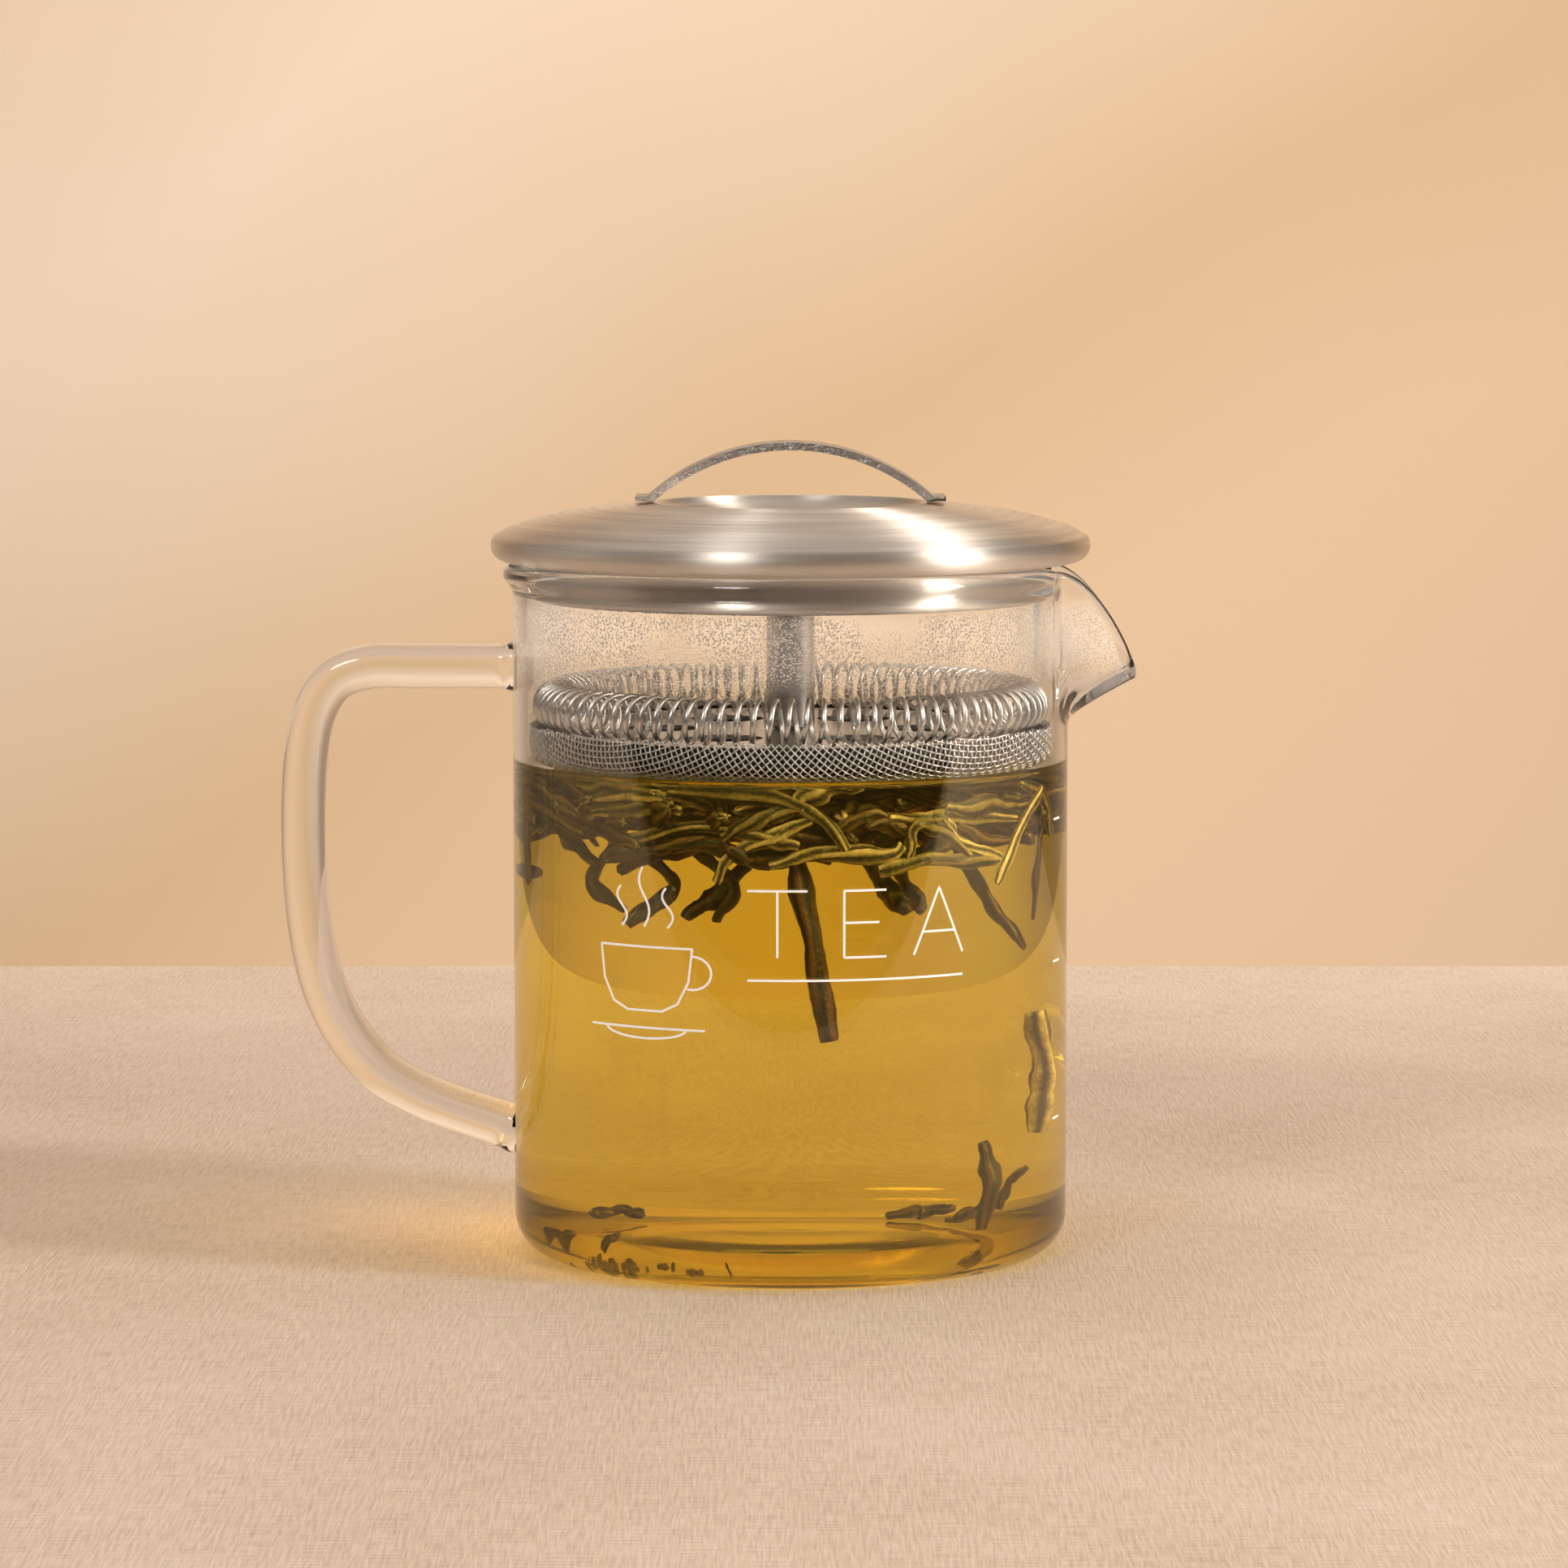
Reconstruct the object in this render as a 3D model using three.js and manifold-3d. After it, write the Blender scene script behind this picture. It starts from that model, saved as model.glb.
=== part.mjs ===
// A small glass teapot with a steel lid. A strainer on a stem hangs from the lid and lifts out with it.
// Millimetres, +Z up, the spout points along +X, the origin is the centre of the foot.
import * as THREE from 'three';
import { ParametricGeometry } from 'three/addons/geometries/ParametricGeometry.js';
import { mergeVertices } from 'three/addons/utils/BufferGeometryUtils.js';
import Module from 'manifold-3d';

// ---- driving dimensions ----
const clearance = 0.3; // air left between pieces that touch

const vesselRadius = 43; // outside of the straight glass wall
const wall = 2.1; // glass thickness
const rimZ = 105.6; // where the wall turns over into the lip
const lipBead = 1.5; // how far the lip stands out from the wall
const lipStartZ = 102.8; // where the lip begins to flare
const footRadius = 36.6; // outer edge of the flat foot
const puntRadius = 26; // hollow under the base
const floorZ = 2.6; // inside floor, round its raised middle

const spoutHalfAngle = THREE.MathUtils.degToRad(17); // half the spout's mouth, seen from the axis
const spoutTip = { x: 53.4, z: 89.4 }; // outer edge of the pouring lip
const spoutStartZ = 82.4; // where the spout leaves the wall
const spoutKeelZ = 84; // height at which its keel turns outwards

const handleDepth = 9.6; // rod size along Y
const handleThickness = 6.8; // rod size in the plane of the handle
const handleWeldRadius = 4.1; // rod's flared ends, where they are fused to the wall
const handlePath = [
  [-42.6, 91.2], [-50, 91.2], [-58, 91.2], [-65, 91.1], [-70.6, 89], [-74, 83.4], [-75.4, 74],
  [-75.5, 60], [-74.3, 48], [-72, 39.5], [-68.3, 32.8], [-63.5, 27.6], [-57, 23.9], [-50, 21.3],
  [-42.6, 18.9],
];

const lidRadius = 46.35;
const lidSheet = 0.8;
const lidTopZ = 116.7; // crest of the dome, at the edge of its dish
const dishRadius = 21.1;
const dishDepth = 2.6;
const lidEdgeZ = 110.1; // widest point of the rolled edge
const panRadius = 39.5; // skirt that drops into the mouth
const panBottomZ = 101.7;
const panSheet = 0.6;
const panFlangeRadius = 43.2; // flange that rests on the glass lip

const gripOuterRadius = 33.2; // lifting strap, an arc in the XZ plane
const gripSheet = 1.2;
const gripTopZ = 126;
const gripWidth = 10;
const gripFootZ = lidTopZ + clearance;
const gripFootEnd = 23.9;

const stemRadius = 3.75;
const stemBore = 2.5;
const stemFlangeRadius = 7;

const coilRadius = 36.3; // mean radius of the spring ring
const coilLoopRadius = 3.3; // radius of one loop of wire
const coilWireRadius = 0.4;
const coilTurns = 96;
const coilZ = 85.6;

const plateRadius = 38;
const plateTopZ = coilZ - coilLoopRadius - coilWireRadius - clearance;
const plateSheet = 0.7;
const plateHoles = 6;
const plateHoleRadius = 5.8;
const plateHoleCircle = 20;

const meshSheet = 0.6;
const meshRadius = 40.6;
const meshFloorZ = 76.5; // lowest point of the mesh, near its rim
const meshRimZ = 83;
const clampRadius = 14;
const clampSheet = 0.8;
const screwRadius = 2.2;
const screwHeadRadius = 4.5;

const roundSegments = 40;

const steel = (color, roughness) => new THREE.MeshStandardMaterial({ color, roughness, metalness: 1 });
const glass = new THREE.MeshStandardMaterial({
  color: 0xeef2ee, roughness: 0.03, metalness: 0, transparent: true, opacity: 0.35,
});
const brushedSteel = steel(0xc9c2b8, 0.32);
const polishedSteel = steel(0xd4d0ca, 0.18);
const wireSteel = steel(0xb5b0a8, 0.28);

// ---- solids ----
const wasm = await Module();
wasm.setup();

// Shares the vertices and turns the faces outwards.
function closed(geometry) {
  geometry.deleteAttribute('normal');
  geometry.deleteAttribute('uv');
  const merged = mergeVertices(geometry, 1e-4);
  const index = merged.index.array;
  const position = merged.attributes.position;
  const corners = [new THREE.Vector3(), new THREE.Vector3(), new THREE.Vector3()];
  const kept = [];
  let volume = 0;
  for (let i = 0; i < index.length; i += 3) {
    const [a, b, c] = [index[i], index[i + 1], index[i + 2]];
    if (a === b || b === c || c === a) continue;
    corners.forEach((corner, k) => corner.fromBufferAttribute(position, [a, b, c][k]));
    volume += corners[0].dot(corners[1].cross(corners[2]));
    kept.push(a, b, c);
  }
  if (volume < 0) kept.reverse();
  merged.setIndex(kept);
  return merged;
}

function toManifold(geometry) {
  const merged = closed(geometry);
  return new wasm.Manifold(new wasm.Mesh({
    numProp: 3,
    vertProperties: new Float32Array(merged.attributes.position.array),
    triVerts: new Uint32Array(merged.index.array),
  }));
}

function toGeometry(manifold) {
  const { vertProperties, triVerts } = manifold.getMesh();
  const geometry = new THREE.BufferGeometry();
  geometry.setAttribute('position', new THREE.BufferAttribute(new Float32Array(vertProperties), 3));
  geometry.setIndex(new THREE.BufferAttribute(new Uint32Array(triVerts), 1));
  return geometry;
}

// A round piece from its profile [radius, height], turned about Z. It closes on itself unless it starts on the axis.
function turned(profile, segments = roundSegments) {
  const points = profile.map(([r, z]) => new THREE.Vector2(r, z));
  if (profile[0][0] > 0) points.push(points[0].clone());
  return new THREE.LatheGeometry(points, segments).rotateX(Math.PI / 2);
}

// Points on an arc of a profile, angles in degrees.
function arc(r, z, radius, from, to, steps) {
  return Array.from({ length: steps + 1 }, (_, i) => {
    const angle = THREE.MathUtils.degToRad(from + ((to - from) * i) / steps);
    return [r + radius * Math.cos(angle), z + radius * Math.sin(angle)];
  });
}

// ---- glass vessel ----
const innerRadius = vesselRadius - wall;
const { lerp, smoothstep, clamp } = THREE.MathUtils;

// Where a column of the wall ends under the rim, at an angle from the spout's middle.
// across is 0 at the pouring tip and 1 where the spout meets the round rim.
function rimEnd(angle, radius, tipX, tipZ) {
  const across = Math.min(Math.abs(angle) / spoutHalfAngle, 1);
  if (across === 1) return new THREE.Vector3(radius * Math.cos(angle), radius * Math.sin(angle), rimZ);
  const jointX = radius * Math.cos(spoutHalfAngle);
  const halfWidth = radius * Math.sin(spoutHalfAngle);
  return new THREE.Vector3(
    lerp(tipX, jointX, across ** 1.23),
    Math.sign(angle) * halfWidth * across ** 0.75,
    lerp(tipZ, rimZ, across * (1.5 - 0.5 * across ** 2)),
  );
}

// One column of the wall, from the spout's start up to the rim: a Bezier curve that is straight on the round wall.
function columnCurve(angle, radius, rise, tipX, tipZ) {
  const across = Math.min(Math.abs(angle) / spoutHalfAngle, 1);
  const foot = new THREE.Vector3(radius * Math.cos(angle), radius * Math.sin(angle), spoutStartZ + rise);
  const straightZ = (foot.z + rimZ) / 2;
  const knee = foot.clone().setZ(lerp(spoutKeelZ + rise, straightZ, across ** 2));
  return new THREE.QuadraticBezierCurve3(foot, knee, rimEnd(angle, radius, tipX, tipZ));
}

const columnSteps = [0, 0.3, 0.55, 0.75, 0.88, 0.94, 1];
const rimAngles = [45, 90, 135];

// All the points of one meridian of the vessel: foot, outer wall, rim, inner wall and floor.
function meridian(angle) {
  const radial = new THREE.Vector3(Math.cos(angle), Math.sin(angle), 0);
  const at = ([r, z]) => radial.clone().multiplyScalar(r).setZ(z);
  const across = Math.abs(angle) / spoutHalfAngle;
  const bead = lipBead * smoothstep(across, 0.95, 1.5);
  const innerRise = 2.2 * (1 - Math.min(across, 1));
  const outerCurve = columnCurve(angle, vesselRadius, 0, spoutTip.x, spoutTip.z);
  const innerCurve = columnCurve(angle, innerRadius, innerRise, spoutTip.x - wall, spoutTip.z + 1.4);
  const outer = columnSteps.map((step) => {
    const point = outerCurve.getPoint(step);
    return point.addScaledVector(radial, bead * smoothstep(point.z, lipStartZ, rimZ));
  });
  const inner = columnSteps.map((step) => innerCurve.getPoint(step)).reverse();

  const outerEnd = outer.at(-1);
  const innerEnd = inner[0];
  const middle = outerEnd.clone().add(innerEnd).multiplyScalar(0.5);
  const side = outerEnd.clone().sub(middle);
  const up = outerCurve.getTangent(1);
  up.addScaledVector(side, -up.dot(side) / side.lengthSq()).setLength(side.length());
  const rim = rimAngles.map((degrees) => {
    const turn = THREE.MathUtils.degToRad(degrees);
    return middle.clone().addScaledVector(side, Math.cos(turn)).addScaledVector(up, Math.sin(turn));
  });

  const base = [[0, 1.6], [14, 1.3], [21, 0.8], [puntRadius, 0]];
  const corner = arc(footRadius, vesselRadius - footRadius, vesselRadius - footRadius, -90, 0, 4);
  const floorCorner = arc(35.4, floorZ + 5.5, innerRadius - 35.4, 0, -90, 4);
  const floor = [[24.5, floorZ], [20.5, 3.6], [16, 4.5], [0, 4.6]];
  return [
    ...base.map(at), ...corner.map(at), ...outer, ...rim, ...inner, ...floorCorner.map(at), ...floor.map(at),
  ];
}

// The angles of the meridians: half of them are spent on the spout.
const spoutColumns = 12;
const wallColumns = 30;
function columnAngle(column) {
  const wrapped = column % (spoutColumns + wallColumns);
  if (wrapped <= spoutColumns) return lerp(-spoutHalfAngle, spoutHalfAngle, wrapped / spoutColumns);
  return lerp(spoutHalfAngle, 2 * Math.PI - spoutHalfAngle, (wrapped - spoutColumns) / wallColumns);
}
const nearestTurn = (angle) => (angle > Math.PI ? angle - 2 * Math.PI : angle);

function vesselGeometry() {
  const columns = spoutColumns + wallColumns;
  const meridians = Array.from({ length: columns }, (_, i) => meridian(nearestTurn(columnAngle(i))));
  const rows = meridians[0].length - 1;
  return new ParametricGeometry((u, v, target) => {
    const column = Math.round(clamp(u, 0, 1) * columns) % columns;
    target.copy(meridians[column][Math.round(clamp(v, 0, 1) * rows)]);
  }, columns, rows);
}

// ---- side handle ----
// The rod's section is between an ellipse and a rectangle.
const flattened = (value) => Math.sign(value) * Math.abs(value) ** 0.72;

function handleGeometry() {
  const section = new THREE.Shape();
  section.setFromPoints(Array.from({ length: 16 }, (_, i) => {
    const angle = (i / 16) * 2 * Math.PI;
    return new THREE.Vector2((handleThickness / 2) * flattened(Math.cos(angle)),
      (handleDepth / 2) * flattened(Math.sin(angle)));
  }));
  const curve = new THREE.CatmullRomCurve3(handlePath.map(([x, z]) => new THREE.Vector3(x, 0, z)));
  let rod = toManifold(new THREE.ExtrudeGeometry(section, { extrudePath: curve, steps: 32 }));
  // The rod widens where it meets the wall: a short cone about each end of its path.
  const upright = new THREE.Vector3(0, 1, 0);
  for (const [end, outward] of [[0, 1], [1, -1]]) {
    const along = curve.getTangent(end).multiplyScalar(outward);
    const flare = new THREE.CylinderGeometry(handleThickness * 0.48, handleWeldRadius, 3.6, 16);
    flare.scale(handleDepth / handleThickness, 1, 1);
    flare.applyQuaternion(new THREE.Quaternion().setFromUnitVectors(upright, along));
    const middle = curve.getPoint(end).addScaledVector(along, 1.4);
    rod = rod.add(toManifold(flare.translate(middle.x, middle.y, middle.z)));
  }
  const wallSpace = new THREE.CylinderGeometry(vesselRadius + clearance, vesselRadius + clearance, 120, 64);
  return toGeometry(rod.subtract(toManifold(wallSpace.rotateX(Math.PI / 2).translate(0, 0, 60))));
}

// ---- lid ----
function lidTopGeometry() {
  const dishFloorZ = lidTopZ - dishDepth;
  const top = [
    ...arc(lidRadius - 2.4, lidEdgeZ, 2.4, -80, 40, 5),
    [42.8, 113.1], [36.5, 114.8], [29, 115.9], [dishRadius, lidTopZ],
    [dishRadius - 1.6, lidTopZ - 1.2], [14, dishFloorZ + 0.4], [0, dishFloorZ],
  ];
  const underside = top.map(([r, z]) => [r, z - lidSheet]).reverse();
  const under = underside.filter(([r]) => r < 43);
  const hem = arc(lidRadius - 2.4, lidEdgeZ, 2.4 - lidSheet, 40, -80, 5);
  return turned([...under, ...hem, ...top.slice(0, -1), [0, dishFloorZ]]);
}

function lidPanGeometry() {
  const hole = stemRadius + clearance;
  const flangeZ = 107.75;
  return turned([
    [hole, panBottomZ], ...arc(panRadius - 1.2, panBottomZ + 1.2, 1.2, -90, 0, 3),
    [panRadius, flangeZ], [panFlangeRadius, flangeZ], [panFlangeRadius, flangeZ + panSheet],
    [panRadius - panSheet, flangeZ + panSheet],
    ...arc(panRadius - 1.2, panBottomZ + 1.2, 1.2 - panSheet, 0, -90, 3), [hole, panBottomZ + panSheet],
  ]);
}

// The strap in the XZ plane: two arcs about one centre, cut off level, with a short foot at each end.
function lidGripGeometry() {
  const centreZ = gripTopZ - gripOuterRadius;
  const innerArcRadius = gripOuterRadius - gripSheet;
  const footHeight = 0.7;
  const footTop = gripFootZ + footHeight - centreZ;
  const outerStart = Math.asin(footTop / gripOuterRadius);
  const innerStart = Math.asin((gripFootZ - centreZ) / innerArcRadius);
  const strap = new THREE.Shape();
  strap.moveTo(gripFootEnd, gripFootZ - centreZ);
  strap.lineTo(gripFootEnd, footTop);
  strap.absarc(0, 0, gripOuterRadius, outerStart, Math.PI - outerStart, false);
  strap.lineTo(-gripFootEnd, footTop);
  strap.lineTo(-gripFootEnd, gripFootZ - centreZ);
  strap.absarc(0, 0, innerArcRadius, Math.PI - innerStart, innerStart, true);
  const geometry = new THREE.ExtrudeGeometry(strap, { depth: gripWidth, bevelEnabled: false, curveSegments: 24 });
  return geometry.translate(0, 0, -gripWidth / 2).rotateX(Math.PI / 2).translate(0, 0, centreZ);
}

function stemGeometry() {
  const flangeZ = panBottomZ + panSheet + clearance;
  const flangeTop = flangeZ + 1;
  return turned([
    [stemBore, plateTopZ + clearance], [stemRadius, plateTopZ + clearance], [stemRadius, flangeZ],
    [stemFlangeRadius, flangeZ], [stemFlangeRadius, flangeTop], [stemBore, flangeTop],
  ], 24);
}

// ---- strainer ----
// The spring ring: loops of wire wound round a circle, with its two ends a short way apart.
class CoilRing extends THREE.Curve {
  getPoint(t, target = new THREE.Vector3()) {
    const round = lerp(0.004, 0.996, t) * 2 * Math.PI;
    const loop = t * coilTurns * 2 * Math.PI;
    const r = coilRadius + coilLoopRadius * Math.cos(loop);
    return target.set(r * Math.cos(round), r * Math.sin(round), coilZ + coilLoopRadius * Math.sin(loop));
  }
}

function coilGeometry() {
  const section = new THREE.Shape(Array.from({ length: 3 }, (_, i) => {
    const angle = (i / 3) * 2 * Math.PI;
    return new THREE.Vector2(coilWireRadius * Math.cos(angle), coilWireRadius * Math.sin(angle));
  }));
  return new THREE.ExtrudeGeometry(section, { extrudePath: new CoilRing(), steps: coilTurns * 5 });
}

function filterPlateGeometry() {
  const bottomZ = plateTopZ - plateSheet;
  const bore = screwRadius + clearance;
  let plate = toManifold(turned([
    [bore, bottomZ], [plateRadius, bottomZ], [plateRadius, plateTopZ], [bore, plateTopZ],
  ]));
  for (let i = 0; i < plateHoles; i += 1) {
    const angle = (i / plateHoles) * 2 * Math.PI;
    const hole = new THREE.CylinderGeometry(plateHoleRadius, plateHoleRadius, 4, 12).rotateX(Math.PI / 2);
    hole.translate(plateHoleCircle * Math.cos(angle), plateHoleCircle * Math.sin(angle), bottomZ);
    plate = plate.subtract(toManifold(hole));
  }
  return toGeometry(plate);
}

// The mesh is clamped flat at its middle, falls towards the wall and turns up along the glass.
const meshTopZ = plateTopZ - plateSheet - clearance;
function filterMeshGeometry() {
  const bore = screwRadius + clearance;
  const middleZ = meshTopZ - meshSheet;
  return turned([
    [bore, middleZ], [clampRadius + 1, middleZ], [34, meshFloorZ + 1.2], [37.6, meshFloorZ],
    [39.6, meshFloorZ + 0.8], [meshRadius, meshFloorZ + 3], [meshRadius, meshRimZ],
    [meshRadius - meshSheet, meshRimZ], [meshRadius - meshSheet, meshFloorZ + 3.2],
    [39.2, meshFloorZ + 1.5], [37.5, meshFloorZ + meshSheet], [34, meshFloorZ + 1.2 + meshSheet],
    [clampRadius + 1, meshTopZ], [bore, meshTopZ],
  ]);
}

const clampTopZ = meshTopZ - meshSheet - clearance;
function clampPlateGeometry() {
  const bore = screwRadius + clearance;
  return turned([
    [bore, clampTopZ - clampSheet], [clampRadius, clampTopZ - clampSheet], [clampRadius, clampTopZ],
    [bore, clampTopZ],
  ], 32);
}

function clampScrewGeometry() {
  const headTopZ = clampTopZ - clampSheet - clearance;
  const tipZ = plateTopZ + 8;
  return turned([
    [0, headTopZ - 1.6], [screwHeadRadius - 1, headTopZ - 1.6], [screwHeadRadius, headTopZ - 0.8],
    [screwHeadRadius, headTopZ], [screwRadius, headTopZ], [screwRadius, tipZ], [0, tipZ],
  ], 20);
}

// ---- the assembly ----
const teapot = new THREE.Group();
function add(parent, name, geometry, material) {
  const mesh = new THREE.Mesh(closed(geometry), material.clone());
  mesh.name = name;
  parent.add(mesh);
}

add(teapot, 'glass_vessel', vesselGeometry(), glass);
add(teapot, 'side_handle', handleGeometry(), glass);

const lid = new THREE.Group();
add(lid, 'lid_top', lidTopGeometry(), brushedSteel);
add(lid, 'lid_pan', lidPanGeometry(), brushedSteel);
add(lid, 'lid_grip', lidGripGeometry(), polishedSteel);
add(lid, 'stem_tube', stemGeometry(), brushedSteel);
teapot.add(lid);

const strainer = new THREE.Group();
add(strainer, 'spring_coil', coilGeometry(), wireSteel);
add(strainer, 'strainer_plate', filterPlateGeometry(), polishedSteel);
add(strainer, 'strainer_mesh', filterMeshGeometry(), wireSteel);
add(strainer, 'clamp_plate', clampPlateGeometry(), polishedSteel);
add(strainer, 'clamp_screw', clampScrewGeometry(), polishedSteel);
teapot.add(strainer);

export default teapot;
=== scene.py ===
# A small glass teapot with a steel lid, a hanging strainer, tea and leaves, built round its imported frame.
# Sizes in the dictionaries are millimetres. Meshes are made in metres.
import math

import bpy
import numpy as np
from mathutils import Matrix, Vector


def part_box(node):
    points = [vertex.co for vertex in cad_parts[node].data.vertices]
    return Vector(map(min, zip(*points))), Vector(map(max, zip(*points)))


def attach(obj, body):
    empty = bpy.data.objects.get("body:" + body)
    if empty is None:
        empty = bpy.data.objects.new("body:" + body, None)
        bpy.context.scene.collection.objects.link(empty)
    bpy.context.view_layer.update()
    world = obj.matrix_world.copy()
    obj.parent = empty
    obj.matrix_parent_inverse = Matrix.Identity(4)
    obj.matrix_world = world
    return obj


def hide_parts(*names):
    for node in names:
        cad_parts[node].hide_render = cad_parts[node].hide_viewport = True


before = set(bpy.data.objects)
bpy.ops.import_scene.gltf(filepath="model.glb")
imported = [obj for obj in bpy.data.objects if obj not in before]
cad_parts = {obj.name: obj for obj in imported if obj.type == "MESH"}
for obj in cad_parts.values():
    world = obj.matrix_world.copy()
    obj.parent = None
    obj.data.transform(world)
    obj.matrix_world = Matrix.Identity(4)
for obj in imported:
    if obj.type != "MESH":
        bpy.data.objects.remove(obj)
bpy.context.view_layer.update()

mm = 0.001
turn = 2 * math.pi


def report(text):
    print("teapot:", text)


def topOf(node):
    # the height of a frame node's top, in millimetres
    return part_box(node)[1].z / mm


def bottomOf(node):
    # the height of a frame node's underside, in millimetres
    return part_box(node)[0].z / mm


# meshes from whole arrays

def smoothstep(x, low, high):
    # 0 below low, 1 above high, and 3t^2 - 2t^3 between
    t = np.clip((x - low) / (high - low), 0, 1)
    return t * t * (3 - 2 * t)


def unit(v):
    # each vector divided by its length
    return v / np.maximum(np.linalg.norm(v, axis=-1, keepdims=True), 1e-12)


def atAngle(r, angle, z):
    # points at a radius, an angle round Z and a height
    return np.stack(np.broadcast_arrays(r * np.cos(angle), r * np.sin(angle), z), axis=-1)


def gridFaces(rows, columns, closeRows, closeColumns, first=0):
    # quads between neighbouring points of a rows by columns grid, joined round where asked
    i = np.arange(rows if closeRows else rows - 1)
    j = np.arange(columns if closeColumns else columns - 1)
    i, j = np.meshgrid(i, j, indexing="ij")
    i2, j2 = (i + 1) % rows, (j + 1) % columns
    corners = [i * columns + j, i * columns + j2, i2 * columns + j2, i2 * columns + j]
    return np.stack(corners, axis=-1).reshape(-1, 4) + first


def poleFans(rows, columns, first=0):
    # the triangles that shut the first and the last row of a grid, round the two points that follow it
    j = np.arange(columns)
    after = (j + 1) % columns
    middle = first + rows * columns
    last = first + (rows - 1) * columns
    start = np.stack([np.full(columns, middle), after + first, j + first], axis=-1)
    end = np.stack([np.full(columns, middle + 1), last + j, last + after], axis=-1)
    return np.vstack([start, end])


def setDown(name, mesh):
    piece = bpy.data.objects.new(name, mesh)
    bpy.context.scene.collection.objects.link(piece)
    return piece


def meshFrom(name, points, quads, triangles=None, sharp=40, attributes=None):
    # one mesh object from points in millimetres
    mesh = bpy.data.meshes.new(name)
    faces = [tuple(f) for f in quads.tolist()]
    if triangles is not None and len(triangles):
        faces += [tuple(f) for f in triangles.tolist()]
    mesh.from_pydata((points * mm).tolist(), [], faces)
    for label, values in (attributes or {}).items():
        layer = mesh.attributes.new(label, "FLOAT", "POINT")
        layer.data.foreach_set("value", np.asarray(values, np.float32))
    mesh.shade_smooth()
    if sharp:
        mesh.set_sharp_from_angle(angle=math.radians(sharp))
    mesh.update()
    return setDown(name, mesh)


def faceOutwards(piece):
    # a closed mesh with a negative volume has its faces turned over
    mesh = piece.data
    mesh.calc_loop_triangles()
    co = np.empty(len(mesh.vertices) * 3)
    mesh.vertices.foreach_get("co", co)
    corner = np.empty(len(mesh.loop_triangles) * 3, np.int32)
    mesh.loop_triangles.foreach_get("vertices", corner)
    a, b, c = co.reshape(-1, 3)[corner.reshape(-1, 3)].transpose(1, 0, 2)
    if np.einsum("ij,ij->i", a, np.cross(b, c)).sum() < 0:
        mesh.flip_normals()
    return piece


def turned(name, profile, columns=192, sharp=40, attributes=None):
    # a profile of (radius, height) turned about Z. It closes on itself, or runs from axis to axis and has
    # a fan at each pole
    profile = np.asarray(profile, float)
    angle = np.arange(columns) / columns * turn
    onAxis = profile[0, 0] < 1e-6
    body = profile[1:-1] if onAxis else profile
    points = atAngle(body[:, None, 0], angle, body[:, None, 1]).reshape(-1, 3)
    quads = gridFaces(len(body), columns, not onAxis, True)
    triangles = None
    if onAxis:
        points = np.vstack([points, [0, 0, profile[0, 1]], [0, 0, profile[-1, 1]]])
        triangles = poleFans(len(body), columns)
    return faceOutwards(meshFrom(name, points, quads, triangles, sharp, attributes))


def arc(r, z, radius, start, end, steps):
    # points of a round stretch of profile, angles in degrees
    a = np.radians(np.linspace(start, end, steps + 1))
    return np.stack([r + radius * np.cos(a), z + radius * np.sin(a)], axis=-1)


def spline(points, perSpan):
    # a Catmull-Rom curve through the points, perSpan points to each stretch
    p = np.asarray(points, float)
    p = np.vstack([2 * p[0] - p[1], p, 2 * p[-1] - p[-2]])
    t = (np.arange(perSpan) / perSpan)[None, :, None]
    a, b, c, d = (p[k:len(p) - 3 + k, None, :] for k in range(4))
    square, cube = 2 * a - 5 * b + 4 * c - d, 3 * b - a - 3 * c + d
    curve = 0.5 * (2 * b + (c - a) * t + square * t ** 2 + cube * t ** 3)
    return np.vstack([curve.reshape(-1, p.shape[1]), p[-2]])


def distanceAlong(path):
    # how far each point of a path is from its start
    return np.concatenate([[0], np.cumsum(np.linalg.norm(np.diff(path, axis=0), axis=1))])


def tubeGrid(path, section, reference):
    # sections set square to a path: section[i, j] holds the two offsets of point j at path point i
    tangent = unit(np.gradient(path, axis=0))
    side = unit(np.cross(tangent, reference))
    up = np.cross(side, tangent)
    return path[:, None, :] + section[..., :1] * side[:, None, :] + section[..., 1:] * up[:, None, :]


def tubePoints(grid):
    # the points of a tube with the middles of its ends
    return np.vstack([grid.reshape(-1, 3), grid[0].mean(axis=0), grid[-1].mean(axis=0)])


class TubeSet:
    # tubes gathered into one mesh, each shut at both ends
    def __init__(self):
        self.points, self.quads, self.fans, self.first = [], [], [], 0

    def add(self, grid):
        rows, columns = grid.shape[:2]
        self.points.append(tubePoints(grid))
        self.quads.append(gridFaces(rows, columns, False, True, self.first))
        self.fans.append(poleFans(rows, columns, self.first))
        self.first += len(self.points[-1])

    def mesh(self, name, sharp=0, attributes=None):
        faces = np.vstack(self.quads), np.vstack(self.fans)
        return meshFrom(name, np.vstack(self.points), *faces, sharp, attributes)


def oneTube(name, grid):
    tube = TubeSet()
    tube.add(grid)
    return faceOutwards(tube.mesh(name))


def dress(piece, material, body, slot, *nodes):
    # gives a piece its finish and its body, and hides the frame nodes that it stands for. The slot is not
    # used
    piece.data.materials.clear()
    piece.data.materials.append(material)
    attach(piece, body)
    if nodes:
        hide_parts(*nodes)
    return piece


# shader maths

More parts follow.
